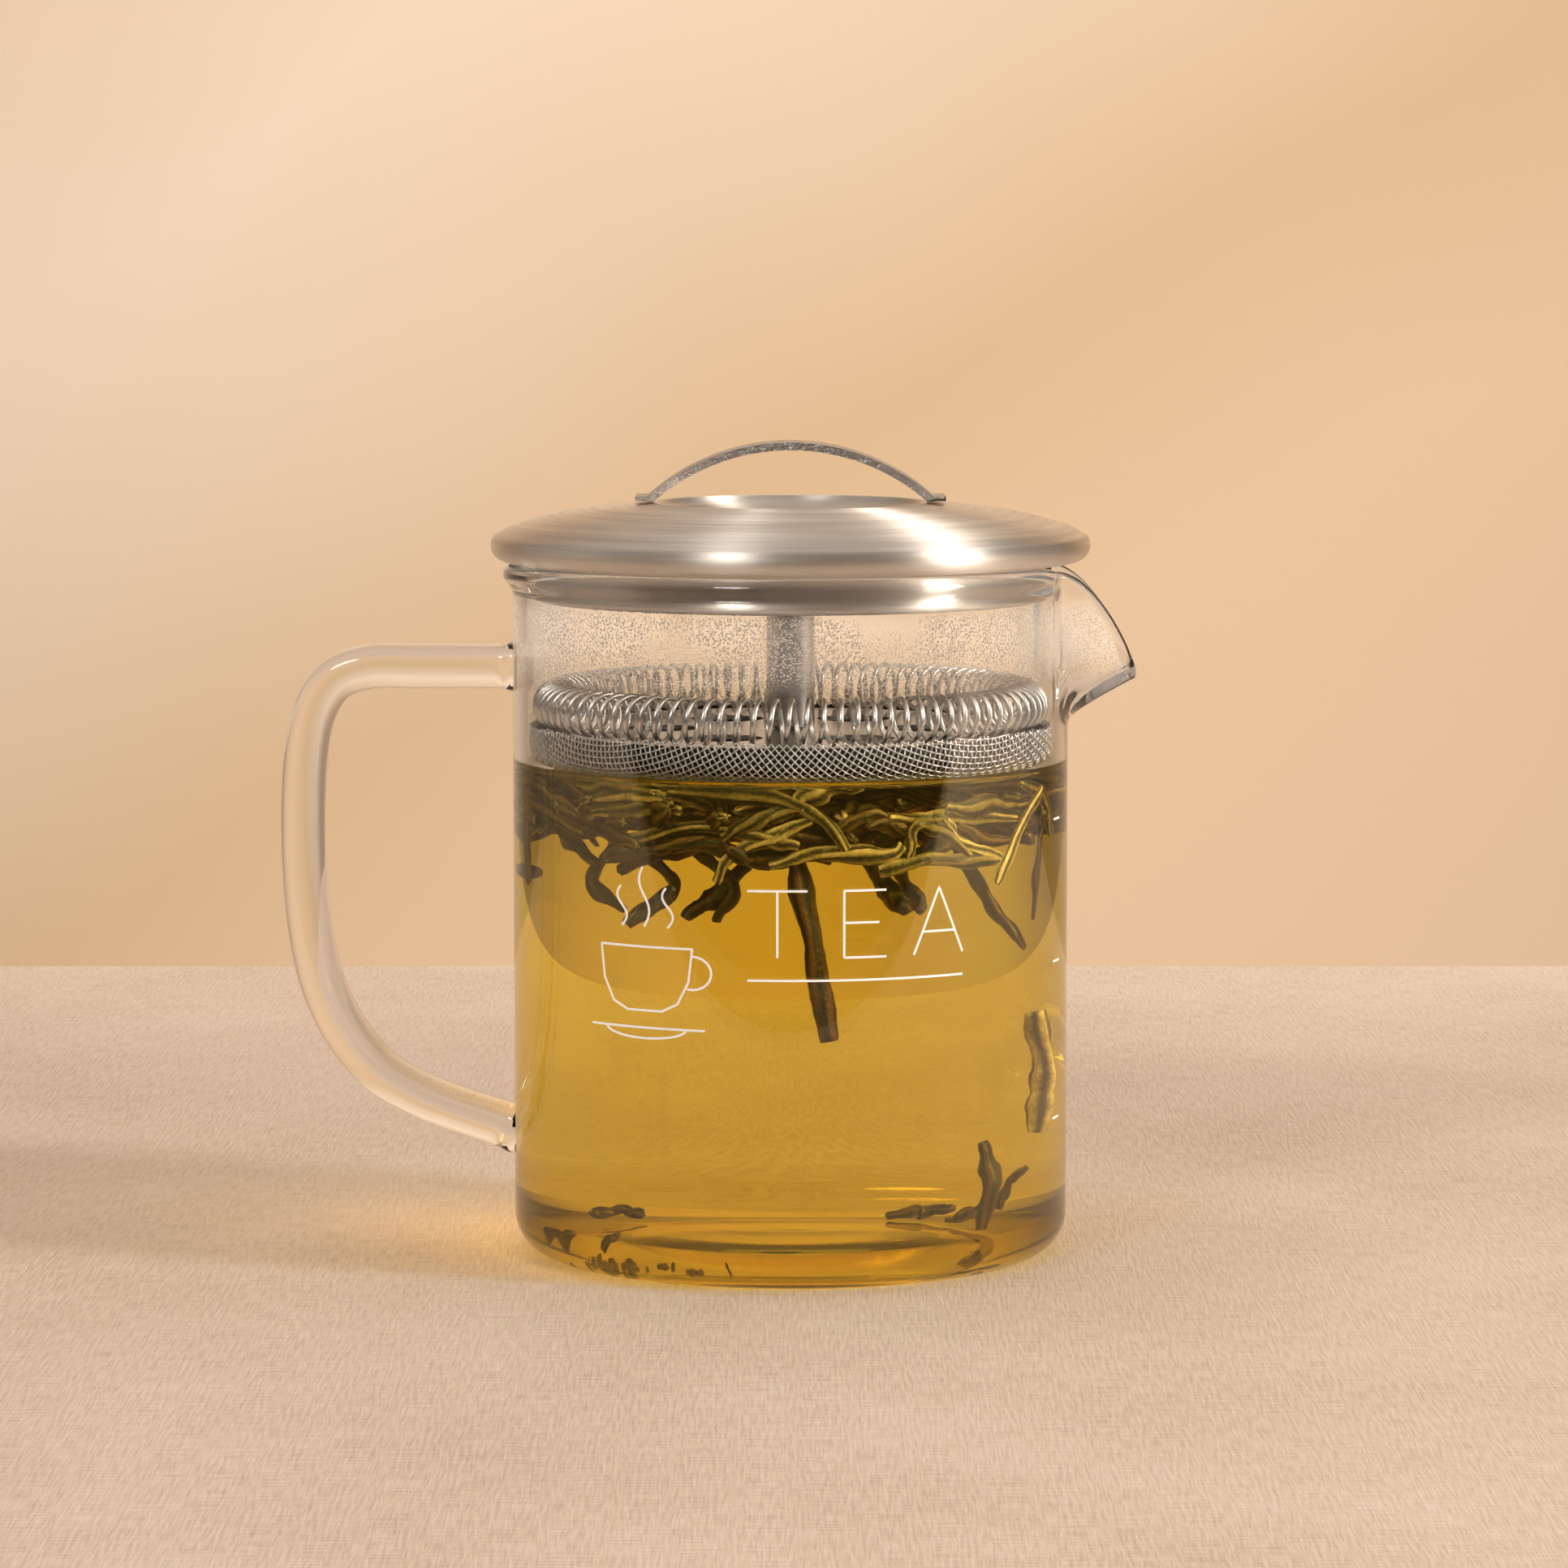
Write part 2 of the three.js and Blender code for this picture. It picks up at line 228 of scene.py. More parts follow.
class Wire:
    # a socket that can stand in sums
    def __init__(self, finish, socket):
        self.finish = finish
        self.socket = socket

    def maths(self, operation, first, second):
        return self.finish.node("ShaderNodeMath", {"operation": operation}, {0: first, 1: second}, "Value")

    def __add__(self, other):
        return self.maths("ADD", self, other)

    def __sub__(self, other):
        return self.maths("SUBTRACT", self, other)

    def __rsub__(self, other):
        return self.maths("SUBTRACT", other, self)

    def __mul__(self, other):
        return self.maths("MULTIPLY", self, other)

    __radd__ = __add__
    __rmul__ = __mul__


def setStops(ramp, stops):
    while len(ramp.elements) < len(stops):
        ramp.elements.new(0.5)
    for element, (place, colour) in zip(ramp.elements, stops):
        element.position = place
        element.color = (*colour, 1)


class Finish:
    # a material under construction
    def __init__(self, name):
        self.material = bpy.data.materials.new(name)
        self.material.use_nodes = True
        self.tree = self.material.node_tree
        self.tree.nodes.clear()
        self.output = self.tree.nodes.new("ShaderNodeOutputMaterial")

    def node(self, kind, settings=None, inputs=None, output=0):
        made = self.tree.nodes.new(kind)
        for label, value in (settings or {}).items():
            if label == "stops":
                setStops(made.color_ramp, value)
            else:
                setattr(made, label, value)
        for label, value in (inputs or {}).items():
            self.feed(made.inputs[label], value)
        return Wire(self, made.outputs[output])

    def feed(self, socket, value):
        if isinstance(value, Wire):
            self.tree.links.new(value.socket, socket)
        elif hasattr(socket.default_value, "__len__") and len(socket.default_value) == 4 and len(value) == 3:
            socket.default_value = (*value, 1)
        else:
            socket.default_value = value

    def place(self):
        return self.node("ShaderNodeTexCoord", output="Object")

    def split(self, vector):
        made = self.tree.nodes.new("ShaderNodeSeparateXYZ")
        self.tree.links.new(vector.socket, made.inputs[0])
        return [Wire(self, made.outputs[k]) for k in range(3)]

    def joined(self, x, y, z):
        return self.node("ShaderNodeCombineXYZ", {}, {0: x, 1: y, 2: z})

    def noise(self, vector, scale, detail=3, roughness=0.5):
        settings = {"noise_dimensions": "3D"}
        inputs = {"Vector": vector, "Scale": scale, "Detail": detail, "Roughness": roughness}
        return self.node("ShaderNodeTexNoise", settings, inputs, "Fac")

    def ramp(self, factor, stops):
        return self.node("ShaderNodeValToRGB", {"stops": stops}, {"Fac": factor}, "Color")

    def bump(self, height, strength, distance):
        inputs = {"Height": height, "Strength": strength, "Distance": distance}
        return self.node("ShaderNodeBump", {}, inputs, "Normal")

    def blend(self, factor, first, second, kind="MIX"):
        # a mix of two colours
        settings = {"data_type": "RGBA", "blend_type": kind}
        return self.node("ShaderNodeMix", settings, {0: factor, 6: first, 7: second}, 2)

    def fraction(self, attribute):
        # an attribute of the mesh as one number
        return self.node("ShaderNodeAttribute", {"attribute_name": attribute}, {}, "Fac")

    def surface(self, inputs):
        return self.node("ShaderNodeBsdfPrincipled", {}, inputs, "BSDF")

    def letLampsThrough(self, surface, colour):
        # lamps reach what is behind the glass: shadow rays meet a clear, tinted sheet
        shadow = self.node("ShaderNodeLightPath", output="Is Shadow Ray")
        clear = self.node("ShaderNodeBsdfTransparent", {}, {"Color": colour})
        return self.node("ShaderNodeMixShader", {}, {0: shadow, 1: surface, 2: clear})

    def done(self, surface):
        self.tree.links.new(surface.socket, self.output.inputs["Surface"])
        return self.material


# camera, lights and stage

camera = {"x": -1.0, "distance": 944.3, "height": 165.4, "pitch": 5.6, "lens": 140.3, "sensor": 36}
lamps = {
    "sun": {
        "place": (1.05, -0.42, 0.62), "size": 0.18, "tall": 0.80, "watts": 12, "colour": (1.0, 0.93, 0.84),
    },
    "overhead": {
        "place": (-0.10, 0.15, 1.30), "size": 1.0, "watts": 4.6, "colour": (1.0, 0.97, 0.94), "shine": False,
    },
    "frontCard": {"place": (-0.50, -1.05, 0.80), "size": 0.34, "watts": 4.5, "colour": (1.0, 0.96, 0.92)},
    "wallLamp": {
        "place": (0.05, 0.45, 0.72), "size": 0.9, "watts": 5.0, "colour": (1.0, 0.96, 0.92),
        "aim": (0.1, 1.3, 0.38), "shine": False,
    },
    "footLamp": {
        "place": (0.05, 0.42, -0.42), "size": 0.7, "watts": 4.5, "colour": (1.0, 0.95, 0.90),
        "aim": (0.1, 1.3, -0.02), "shine": False,
    },
}
sky = {
    "colour": (1.0, 0.90, 0.80), "backdrop": 0.72,
    "up": [(0.0, 0.0), (0.15, 0.0), (0.55, 0.17), (1.0, 0.45)],
    "round": [(0.0, 0.012), (0.30, 0.015), (0.42, 0.20), (1.0, 0.28)],
}
# the cloth's front and back edges and the wall, along Y. The cloth lies a hair under the foot
stage = {
    "front": -330, "back": 346, "clothZ": -0.05, "reach": 1700,
    "wall": 1300, "wallLow": -900, "wallHigh": 1800,
}


def addCamera():
    data = bpy.data.cameras.new("camera")
    data.lens = camera["lens"]
    data.sensor_width = camera["sensor"]
    data.clip_start = 0.01
    seen = bpy.data.objects.new("camera", data)
    seen.location = (camera["x"] * mm, -camera["distance"] * mm, camera["height"] * mm)
    seen.rotation_euler = (math.radians(90 - camera["pitch"]), 0, 0)
    bpy.context.scene.collection.objects.link(seen)
    bpy.context.scene.camera = seen


def addLamp(name, lamp):
    data = bpy.data.lights.new(name, "AREA")
    data.shape = "RECTANGLE" if "tall" in lamp else "DISK"
    data.size = lamp["size"]
    data.size_y = lamp.get("tall", lamp["size"])
    data.energy = lamp["watts"]
    data.color = lamp["colour"]
    light = bpy.data.objects.new(name, data)
    light.location = lamp["place"]
    aim = Vector(lamp.get("aim", (0, 0, 0.05))) - light.location
    light.rotation_euler = aim.to_track_quat("-Z", "Y").to_euler()
    light.visible_glossy = lamp.get("shine", True)
    bpy.context.scene.collection.objects.link(light)


def clothFinish():
    # linen: two sets of threads at right angles, uneven in colour
    f = Finish("paleLinen")
    place = f.place()
    x, y, z = f.split(place)
    warp, weft = f.joined(x * 1900, y * 130, z), f.joined(x * 130, y * 1900, z)
    threads = f.noise(warp, 1.0, 2) + f.noise(weft, 1.0, 2)
    broad = f.noise(place, 14, 2)
    tone = (threads - 1.0) * 0.48 + (broad - 0.5) * 0.30 + 0.50
    colour = f.ramp(tone, [
        (0.30, (0.50, 0.37, 0.275)), (0.50, (0.64, 0.495, 0.385)), (0.68, (0.71, 0.575, 0.465)),
    ])
    return f.done(f.surface({
        "Base Color": colour, "Roughness": 0.9, "Normal": f.bump(threads, 0.5, 0.0004),
    }))


def wallFinish():
    # a warm wall with painted light in its colour: brighter higher up and to the left, a little darker to the
    # right, with a painted shadow band running down from the upper right
    f = Finish("warmWallPaintedLight")
    x, y, z = f.split(f.place())
    drift = f.noise(f.joined(x, z, 0.0), 4.0, 1)
    across = z * 0.94 - x * 0.62 + (drift - 0.5) * 0.10 + 0.5
    # painted light and shadow: the ramp brightens up and to the left, and its dip at 0.55 is the painted
    # shadow band
    colour = f.ramp(across, [
        (0.20, (0.76, 0.54, 0.36)), (0.42, (0.80, 0.56, 0.36)), (0.55, (0.73, 0.50, 0.30)),
        (0.66, (0.80, 0.60, 0.42)), (0.80, (0.90, 0.71, 0.54)), (1.0, (0.82, 0.60, 0.42)),
    ])
    return f.done(f.surface({"Base Color": colour, "Roughness": 0.9}))


def flatSheet(name, corners, finish):
    # one flat face through four corners
    sheet = meshFrom(name, np.array(corners, float), np.array([[0, 1, 2, 3]]), sharp=0)
    sheet.data.materials.append(finish)
    return sheet


def addStage():
    reach, level = stage["reach"], stage["clothZ"]
    floor = flatSheet("floor", [
        [-reach, stage["front"], level], [reach, stage["front"], level], [reach, stage["back"], level],
        [-reach, stage["back"], level],
    ], clothFinish())
    low, high = stage["wallLow"], stage["wallHigh"]
    wall = flatSheet("backWall", [
        [-reach, stage["wall"], low], [reach, stage["wall"], low], [reach, stage["wall"], high],
        [-reach, stage["wall"], high],
    ], wallFinish())
    bpy.context.scene.world = studioWorld()
    bpy.context.scene.view_settings.view_transform = "Standard"


def studioWorld():
    # dark towards the camera, brighter at the sides, brightest overhead: one ramp runs with the height of the
    # direction looked in and one with its depth, and the two are added
    world = bpy.data.worlds.new("studio")
    world.use_nodes = True
    nodes, links = world.node_tree.nodes, world.node_tree.links
    direction, parts = nodes.new("ShaderNodeTexCoord"), nodes.new("ShaderNodeSeparateXYZ")
    depth, total = nodes.new("ShaderNodeMath"), nodes.new("ShaderNodeMath")
    depth.operation = "MULTIPLY_ADD"
    depth.inputs[1].default_value = depth.inputs[2].default_value = 0.5
    links.new(direction.outputs["Generated"], parts.inputs[0])
    links.new(parts.outputs["Y"], depth.inputs[0])
    for k, (source, stops) in enumerate(((parts.outputs["Z"], sky["up"]), (depth.outputs[0], sky["round"]))):
        ramp = nodes.new("ShaderNodeValToRGB")
        setStops(ramp.color_ramp, [(place, (level, level, level)) for place, level in stops])
        links.new(source, ramp.inputs["Fac"])
        links.new(ramp.outputs["Color"], total.inputs[k])
    # seen directly, past the edge of the cloth, it is an even pale backdrop
    ray, seen = nodes.new("ShaderNodeLightPath"), nodes.new("ShaderNodeMix")
    links.new(ray.outputs["Is Camera Ray"], seen.inputs[0])
    links.new(total.outputs[0], seen.inputs[2])
    seen.inputs[3].default_value = sky["backdrop"]
    nodes["Background"].inputs["Color"].default_value = (*sky["colour"], 1)
    links.new(seen.outputs[0], nodes["Background"].inputs["Strength"])
    return world


addCamera()
for name, lamp in lamps.items():
    addLamp(name, lamp)
addStage()
report("camera, lights and stage")


# glass vessel and handle

vessel = {
    "radius": 43.0, "wall": 2.1, "rim": 105.6, "lipBead": 1.5, "lipStart": 102.8, "foot": 36.6, "punt": 26,
    "floor": 2.6, "floorFlat": 35.4, "puntTop": 1.62, "floorTop": 4.62,
}
mistBand = {"low": (88.5, 95), "high": (100, 102.5)}
spout = {"halfAngle": math.radians(17), "tipX": 53.4, "tipZ": 89.4, "start": 82.4, "keel": 84.0}
handle = {
    "depth": 9.6, "thickness": 6.8, "squareness": 0.62, "flare": 0.12, "flareAt": 0.6, "flareWidth": 1.3,
    "path": [
        (-42.2, 91.2), (-50, 91.2), (-58, 91.2), (-65, 91.1), (-70.6, 89), (-74, 83.4), (-75.4, 74),
        (-75.5, 60), (-74.3, 48), (-72, 39.5), (-68.3, 32.8), (-63.5, 27.6), (-57, 23.9), (-50, 21.3),
        (-42.2, 18.8),
    ],
}
innerRadius = vessel["radius"] - vessel["wall"]
# the floor from its trough up to its raised middle
floorRise = [(24.5, vessel["floor"]), (22.5, 2.95), (20, 3.75), (17.5, 4.4), (15, 4.58), (10, 4.6)]


def columnEnds(angle, radius, tipX, tipZ):
    # the rim: level on the round wall, and across the spout a V in plan that dips to the tip.
    # x falls as across^1.23, the half width grows as across^0.75, and the height eases in at the joint
    across = np.minimum(np.abs(angle) / spout["halfAngle"], 1)
    jointX = radius * math.cos(spout["halfAngle"])
    halfWidth = radius * math.sin(spout["halfAngle"])
    beak = np.stack([
        tipX + (jointX - tipX) * across ** 1.23, np.sign(angle) * halfWidth * across ** 0.75,
        tipZ + (vessel["rim"] - tipZ) * across * (1.5 - 0.5 * across ** 2),
    ], axis=-1)
    return np.where(across[:, None] >= 1, atAngle(radius, angle, vessel["rim"]), beak)


def columnCurve(angle, radius, rise, tipX, tipZ, steps):
    # a Bezier curve up each column: foot, knee and rim end. It is a straight line where the wall is round
    across = np.minimum(np.abs(angle) / spout["halfAngle"], 1)
    footZ = spout["start"] + rise
    kneeZ = spout["keel"] + rise
    kneeZ = kneeZ + ((footZ + vessel["rim"]) / 2 - kneeZ) * across ** 2
    foot, knee = atAngle(radius, angle, footZ), atAngle(radius, angle, kneeZ)
    end = columnEnds(angle, radius, tipX, tipZ)
    t = np.asarray(steps)[:, None, None]
    curve = (1 - t) ** 2 * foot + 2 * t * (1 - t) * knee + t ** 2 * end
    return curve, unit(end - knee)


def vesselRows():
    # the whole skin of the vessel, row by row: foot, outside, rim, inside, floor
    beakAngles = np.linspace(-1, 1, 97)[:-1] * spout["halfAngle"]
    roundAngles = np.linspace(spout["halfAngle"], turn - spout["halfAngle"], 257)[:-1]
    angle = np.concatenate([beakAngles, roundAngles])
    angle = np.where(angle > math.pi, angle - turn, angle)
    radial = atAngle(1, angle, 0)
    across = np.abs(angle) / spout["halfAngle"]
    bead = vessel["lipBead"] * smoothstep(across, 0.95, 1.5)
    rise = 2.2 * (1 - np.minimum(across, 1))
    steps = np.concatenate([np.linspace(0, 0.8, 17), np.linspace(0.8, 1, 13)[1:]])
    outside, climb = columnCurve(angle, vessel["radius"], rise * 0, spout["tipX"], spout["tipZ"], steps)
    lift = smoothstep(outside[..., 2], vessel["lipStart"], vessel["rim"])
    outside = outside + (bead * lift)[..., None] * radial
    tipX, tipZ = spout["tipX"] - vessel["wall"], spout["tipZ"] + 1.4
    inside = columnCurve(angle, innerRadius, rise, tipX, tipZ, steps)[0][::-1]
    # the rim is half a circle from the outer end to the inner end, square to the wall
    middle = (outside[-1] + inside[0]) / 2
    side = outside[-1] - middle
    reach = np.linalg.norm(side, axis=-1, keepdims=True)
    up = climb - side * (np.sum(climb * side, axis=-1, keepdims=True) / reach ** 2)
    up = unit(up) * reach
    a = np.radians(np.linspace(0, 180, 13)[1:-1])[:, None, None]
    rim = middle + side * np.cos(a) + up * np.sin(a)

    def rings(profile):
        profile = np.asarray(profile, float)
        ring = profile[:, None, :1] * radial
        ring[..., 2] = profile[:, 1:2]
        return ring

    cornerRadius = vessel["radius"] - vessel["foot"]
    under = spline([(3, 1.6), (14, 1.3), (21, 0.8), (vessel["punt"], 0.0)], 6)
    corner = arc(vessel["foot"], cornerRadius, cornerRadius, -90, 0, 18)
    straight = [(vessel["radius"], z) for z in (20, 40, 60, 74)]
    floorRadius = innerRadius - vessel["floorFlat"]
    inStraight = [(innerRadius, z) for z in (74, 60, 40, 20)]
    inCorner = arc(vessel["floorFlat"], vessel["floor"] + floorRadius, floorRadius, 0, -90, 16)
    floorMiddle = spline(floorRise + [(3, vessel["floorTop"])], 5)
    rows = [
        rings(under), rings(corner), rings(straight), outside, rim, inside, rings(inStraight),
        rings(inCorner), rings(floorMiddle),
    ]
    return np.concatenate(rows), sum(len(r) for r in rows[:5])


def mistAmount(points, innerFrom, columns):
    # 1 on the inner wall between the strainer and the lid, fading at both ends, 0 elsewhere
    z = points[:, 2]
    inner = np.arange(len(points)) >= innerFrom * columns
    band = smoothstep(z, *mistBand["low"]) * (1 - smoothstep(z, *mistBand["high"]))
    return inner * band * (np.hypot(points[:, 0], points[:, 1]) > innerRadius - 0.3)


def glassFinish():
    # clear glass, clouded by fine mist on the inside: the mist bumps the surface with beads, and its band
    # carries a painted glow
    f = Finish("clearGlass")
    mist = f.fraction("mist")
    place = f.place()
    patches = f.noise(place, 75, 3)
    cell = f.node("ShaderNodeTexVoronoi", {"feature": "F1"}, {"Vector": place, "Scale": 3300}, "Distance")
    beads = f.node("ShaderNodeMath", {"operation": "MAXIMUM"}, {0: 0.45 - cell, 1: 0.0}, "Value")
    wet = mist * f.ramp(patches, [(0.34, (0, 0, 0)), (0.54, (1, 1, 1))])
    ripple = f.noise(place, 22, 1) * 0.05 + beads * wet * 1.6
    # painted light: the base colour of the thick foot is tinted gold, standing in for the tea's colour that
    # it bends into view
    height = f.split(place)[2]
    foot = f.ramp(height * 80, [(0.55, (0.97, 0.88, 0.42)), (0.85, (0.985, 0.985, 0.975))])
    # painted glow: a faint grey emission in the mist band that stands in for light scattered by the mist
    paintedMistGlow = f.blend(mist * 0.55 + wet * 0.45, (0.0, 0.0, 0.0), (0.16, 0.135, 0.115))
    surface = f.surface({
        "Base Color": foot, "Roughness": 0.0, "Transmission Weight": 1.0, "IOR": 1.47,
        "Normal": f.bump(ripple, 0.6, 0.00028), "Emission Color": paintedMistGlow, "Emission Strength": 1.0,
    })
    return f.done(f.letLampsThrough(surface, (0.90, 0.89, 0.87)))


def buildWall():
    # the vessel's skin, with a fan in the middle of the foot and another in the middle of the floor
    rows, innerFrom = vesselRows()
    count = rows.shape[1]
    points = rows.reshape(-1, 3)
    mist = np.append(mistAmount(points, innerFrom, count), [0, 0])
    points = np.vstack([points, [0, 0, vessel["puntTop"]], [0, 0, vessel["floorTop"]]])
    quads, fans = gridFaces(len(rows), count, False, True), poleFans(len(rows), count)
    return faceOutwards(meshFrom("vesselGlass", points, quads, fans, 0, {"mist": mist}))


def flattened(value):
    # raised to the handle's squareness with its sign kept, which turns an ellipse towards a rectangle
    return np.sign(value) * np.abs(value) ** handle["squareness"]


def buildHandle():
    # a rod along the path, wider near each end by flare * exp(-((distance - flareAt) / flareWidth)^2)
    path = spline([(x, 0, z) for x, z in handle["path"]], 14)
    a = np.arange(48) / 48 * turn
    halfSizes = [handle["thickness"] / 2, handle["depth"] / 2]
    outline = np.stack([flattened(np.sin(a)), flattened(np.cos(a))], axis=-1) * halfSizes
    along = distanceAlong(path)
    fromEnd = np.minimum(along, along[-1] - along)
    flare = 1 + handle["flare"] * np.exp(-((fromEnd - handle["flareAt"]) / handle["flareWidth"]) ** 2)
    # the reference runs along Y, so the first offset lies in the plane of the handle
    section = outline[None] * flare[:, None, None]
    return oneTube("handleGlass", tubeGrid(path, section, np.array([0.0, 1.0, 0.0])))


def carve(piece, other, operation):
    # an exact boolean of two meshes. The other piece is used up
    step = piece.modifiers.new("carve", "BOOLEAN")
    step.operation = operation
    step.solver = "EXACT"
    step.object = other
    bpy.context.view_layer.update()
    mesh = bpy.data.meshes.new_from_object(piece.evaluated_get(bpy.context.evaluated_depsgraph_get()))
    piece.modifiers.clear()
    piece.data = mesh
    bpy.data.objects.remove(other)


def buildGlass():
    # the handle is fused to the wall: one glass skin
    glass = buildWall()
    carve(glass, buildHandle(), "UNION")
    glass.data.shade_smooth()
    glass.data.set_sharp_from_angle(angle=math.radians(38))
    return glass


dress(buildGlass(), glassFinish(), "vessel", "clear_glass", "glass_vessel", "side_handle")
report("glass vessel and handle")


# tea

# the overlap sets its skin just inside the glass
# glow and glowStrength set a painted glow: emission that stands in for light scattered in the tea
tea = {
    "level": 75.6, "meniscus": 1.5, "climb": 1.1, "overlap": 0.06, "colour": (0.93, 0.79, 0.17),
    "depthColour": (0.90, 0.81, 0.26), "density": 22.0, "glow": (0.85, 0.50, 0.07), "glowStrength": 0.015,
}


def teaFinish():
    # a clear liquid that darkens with the distance light travels in it, with a faint golden glow: painted
    # light, an emission that stands in for light scattered in the tea
    f = Finish("amberTea")
    surface = f.surface({
        "Base Color": tea["colour"], "Roughness": 0.0, "Transmission Weight": 1.0, "IOR": 1.333,
        "Emission Color": tea["glow"], "Emission Strength": tea["glowStrength"],
    })
    inputs = {"Color": tea["depthColour"], "Density": tea["density"]}
    absorption = f.node("ShaderNodeVolumeAbsorption", {}, inputs)
    f.tree.links.new(absorption.socket, f.output.inputs["Volume"])
    return f.done(f.letLampsThrough(surface, (0.99, 0.90, 0.55)))


def buildTea():
    # fills the vessel to its level and climbs the wall a little: level + meniscus * exp(-gap / climb)
    wallAt = innerRadius + tea["overlap"]
    floorRadius = innerRadius - vessel["floorFlat"]
    low = -tea["overlap"]
    rise = spline([(0, vessel["floorTop"])] + floorRise[::-1], 5)
    corner = arc(vessel["floorFlat"], vessel["floor"] + floorRadius, floorRadius - low, -90, 0, 16)
    gap = np.concatenate([np.linspace(0, 6, 16), [10, 20, 30]])
    height = tea["level"] + tea["meniscus"] * np.exp(-gap / tea["climb"])
    surface = np.column_stack([wallAt - gap, height])
    rise = rise + [0, low]
    rise[0, 0] = 0
    profile = np.vstack([rise, corner, surface, [0, tea["level"]]])
    return turned("teaLiquid", profile, 256, 60)


dress(buildTea(), teaFinish(), "vessel", "clear_glass")
report("tea")


# lid

lid = {
    "radius": 46.35, "sheet": 0.8, "top": 116.7, "edge": 110.1, "edgeRound": 2.4, "dish": 21.1,
    "dishDepth": 2.6, "dome": [(42.8, 113.1), (36.5, 114.8), (29, 115.9)],
}
pan = {"radius": 39.5, "bottom": 101.7, "sheet": 0.6, "flange": 43.2, "flangeZ": 107.75, "corner": 1.2}
grip = {
    "outer": 33.2, "sheet": 1.2, "top": 126.0, "width": 10.0,
    "foot": 117.0, "footEnd": 23.9, "footHeight": 0.7,
}
stem = {"radius": 3.75, "bore": 2.5, "flange": 7.0}


def steelFinish(name, colour, roughness, brushing, depth):
    # steel brushed in circles round the Z axis: brushing is how many grooves there are to a metre of radius
    f = Finish(name)
    place = f.place()
    x, y, z = f.split(place)
    reach = f.node("ShaderNodeMath", {"operation": "SQRT"}, {0: x * x + y * y}, "Value")
    turnAt = f.node("ShaderNodeMath", {"operation": "ARCTAN2"}, {0: y, 1: x}, "Value")
    fine = f.noise(f.joined((reach - z * 0.8) * brushing, turnAt * 1.4, z * 40), 1.0, 4, 0.65)
    coarse = f.noise(f.joined((reach - z) * brushing * 0.22, turnAt * 0.7, 0.0), 1.0, 2)
    smear = f.noise(place, 45, 2)
    tone = fine * 0.6 + coarse * 0.4
    dark = tuple(c * 0.50 for c in colour)
    shade = f.blend((tone - 0.5) * 2.2 + 0.78, dark, colour)
    unevenness = (smear - 0.5) * 0.10 + (fine - 0.5) * 0.12
    return f.done(f.surface({
        "Base Color": shade, "Metallic": 1.0, "Roughness": unevenness + roughness, "Anisotropic": 0.92,
        "Anisotropic Rotation": 0.25, "Normal": f.bump(fine + coarse * 0.5, 1.0, depth),
    }))


def satinFinish(name, colour, roughness, stretch, depth):
    # rolled steel with fine grain drawn out along one axis
    f = Finish(name)
    place = f.place()
    grained = f.node("ShaderNodeMapping", {}, {"Vector": place, "Scale": stretch})
    grain = f.noise(grained, 1.0, 4, 0.6)
    smear = f.noise(place, 60, 2)
    dark = tuple(c * 0.72 for c in colour)
    return f.done(f.surface({
        "Base Color": f.blend(grain, dark, colour), "Metallic": 1.0,
        "Roughness": (smear - 0.5) * 0.12 + roughness, "Normal": f.bump(grain, 1.0, depth),
    }))


lidSteel = steelFinish("brushedLidSteel", (0.99, 0.93, 0.86), 0.45, 1100, 0.00002)
panSteel = steelFinish("turnedPanSteel", (0.90, 0.84, 0.78), 0.42, 1300, 0.00002)
strapSteel = satinFinish("strapSteel", (0.62, 0.55, 0.49), 0.34, (900, 2500, 900), 0.0004)
tubeSteel = satinFinish("tubeSteel", (0.70, 0.66, 0.62), 0.22, (2500, 2500, 120), 0.00003)


def buildLidTop():
    # the dome, its rolled edge and its dish as one sheet of even thickness
    edgeR = lid["radius"] - lid["edgeRound"]
    hem = arc(edgeR, lid["edge"], lid["edgeRound"], -80, 38, 16)
    dome = spline([hem[-1], *lid["dome"], (lid["dish"] + 0.5, lid["top"] - 0.04)], 10)[1:]
    floorZ = lid["top"] - lid["dishDepth"]
    dish = spline([
        (lid["dish"], lid["top"] - 0.12), (lid["dish"] - 1.3, lid["top"] - 1.1), (15, floorZ + 0.5),
        (7, floorZ + 0.1), (0, floorZ),
    ], 8)
    outer = np.vstack([hem, dome, dish])
    along = np.gradient(outer, axis=0)
    normal = unit(np.stack([along[:, 1], -along[:, 0]], axis=-1))
    inner = outer - normal * lid["sheet"]
    inner[:, 0] = np.maximum(inner[:, 0], 0)
    inner[-1, 0] = 0
    return turned("lidDome", np.vstack([inner[::-1], outer]), 256, 30)


def buildLidPan():
    # a shallow pan with a flange round its top and a hole for the stem
    hole = stem["radius"] + 0.3
    centre = (pan["radius"] - pan["corner"], pan["bottom"] + pan["corner"])
    top = pan["flangeZ"] + pan["sheet"]
    outerCorner = arc(*centre, pan["corner"], -90, 0, 8)
    underFlange = arc(pan["radius"] + 0.4, pan["flangeZ"] - 0.4, 0.4, 180, 90, 4)
    innerCorner = arc(*centre, pan["corner"] - pan["sheet"], 0, -90, 8)
    return turned("lidPan", np.vstack([
        [hole, pan["bottom"]], outerCorner, underFlange,
        [pan["flange"], pan["flangeZ"]], [pan["flange"], top], [pan["radius"] - pan["sheet"], top],
        innerCorner, [hole, pan["bottom"] + pan["sheet"]],
    ]), 256, 40)


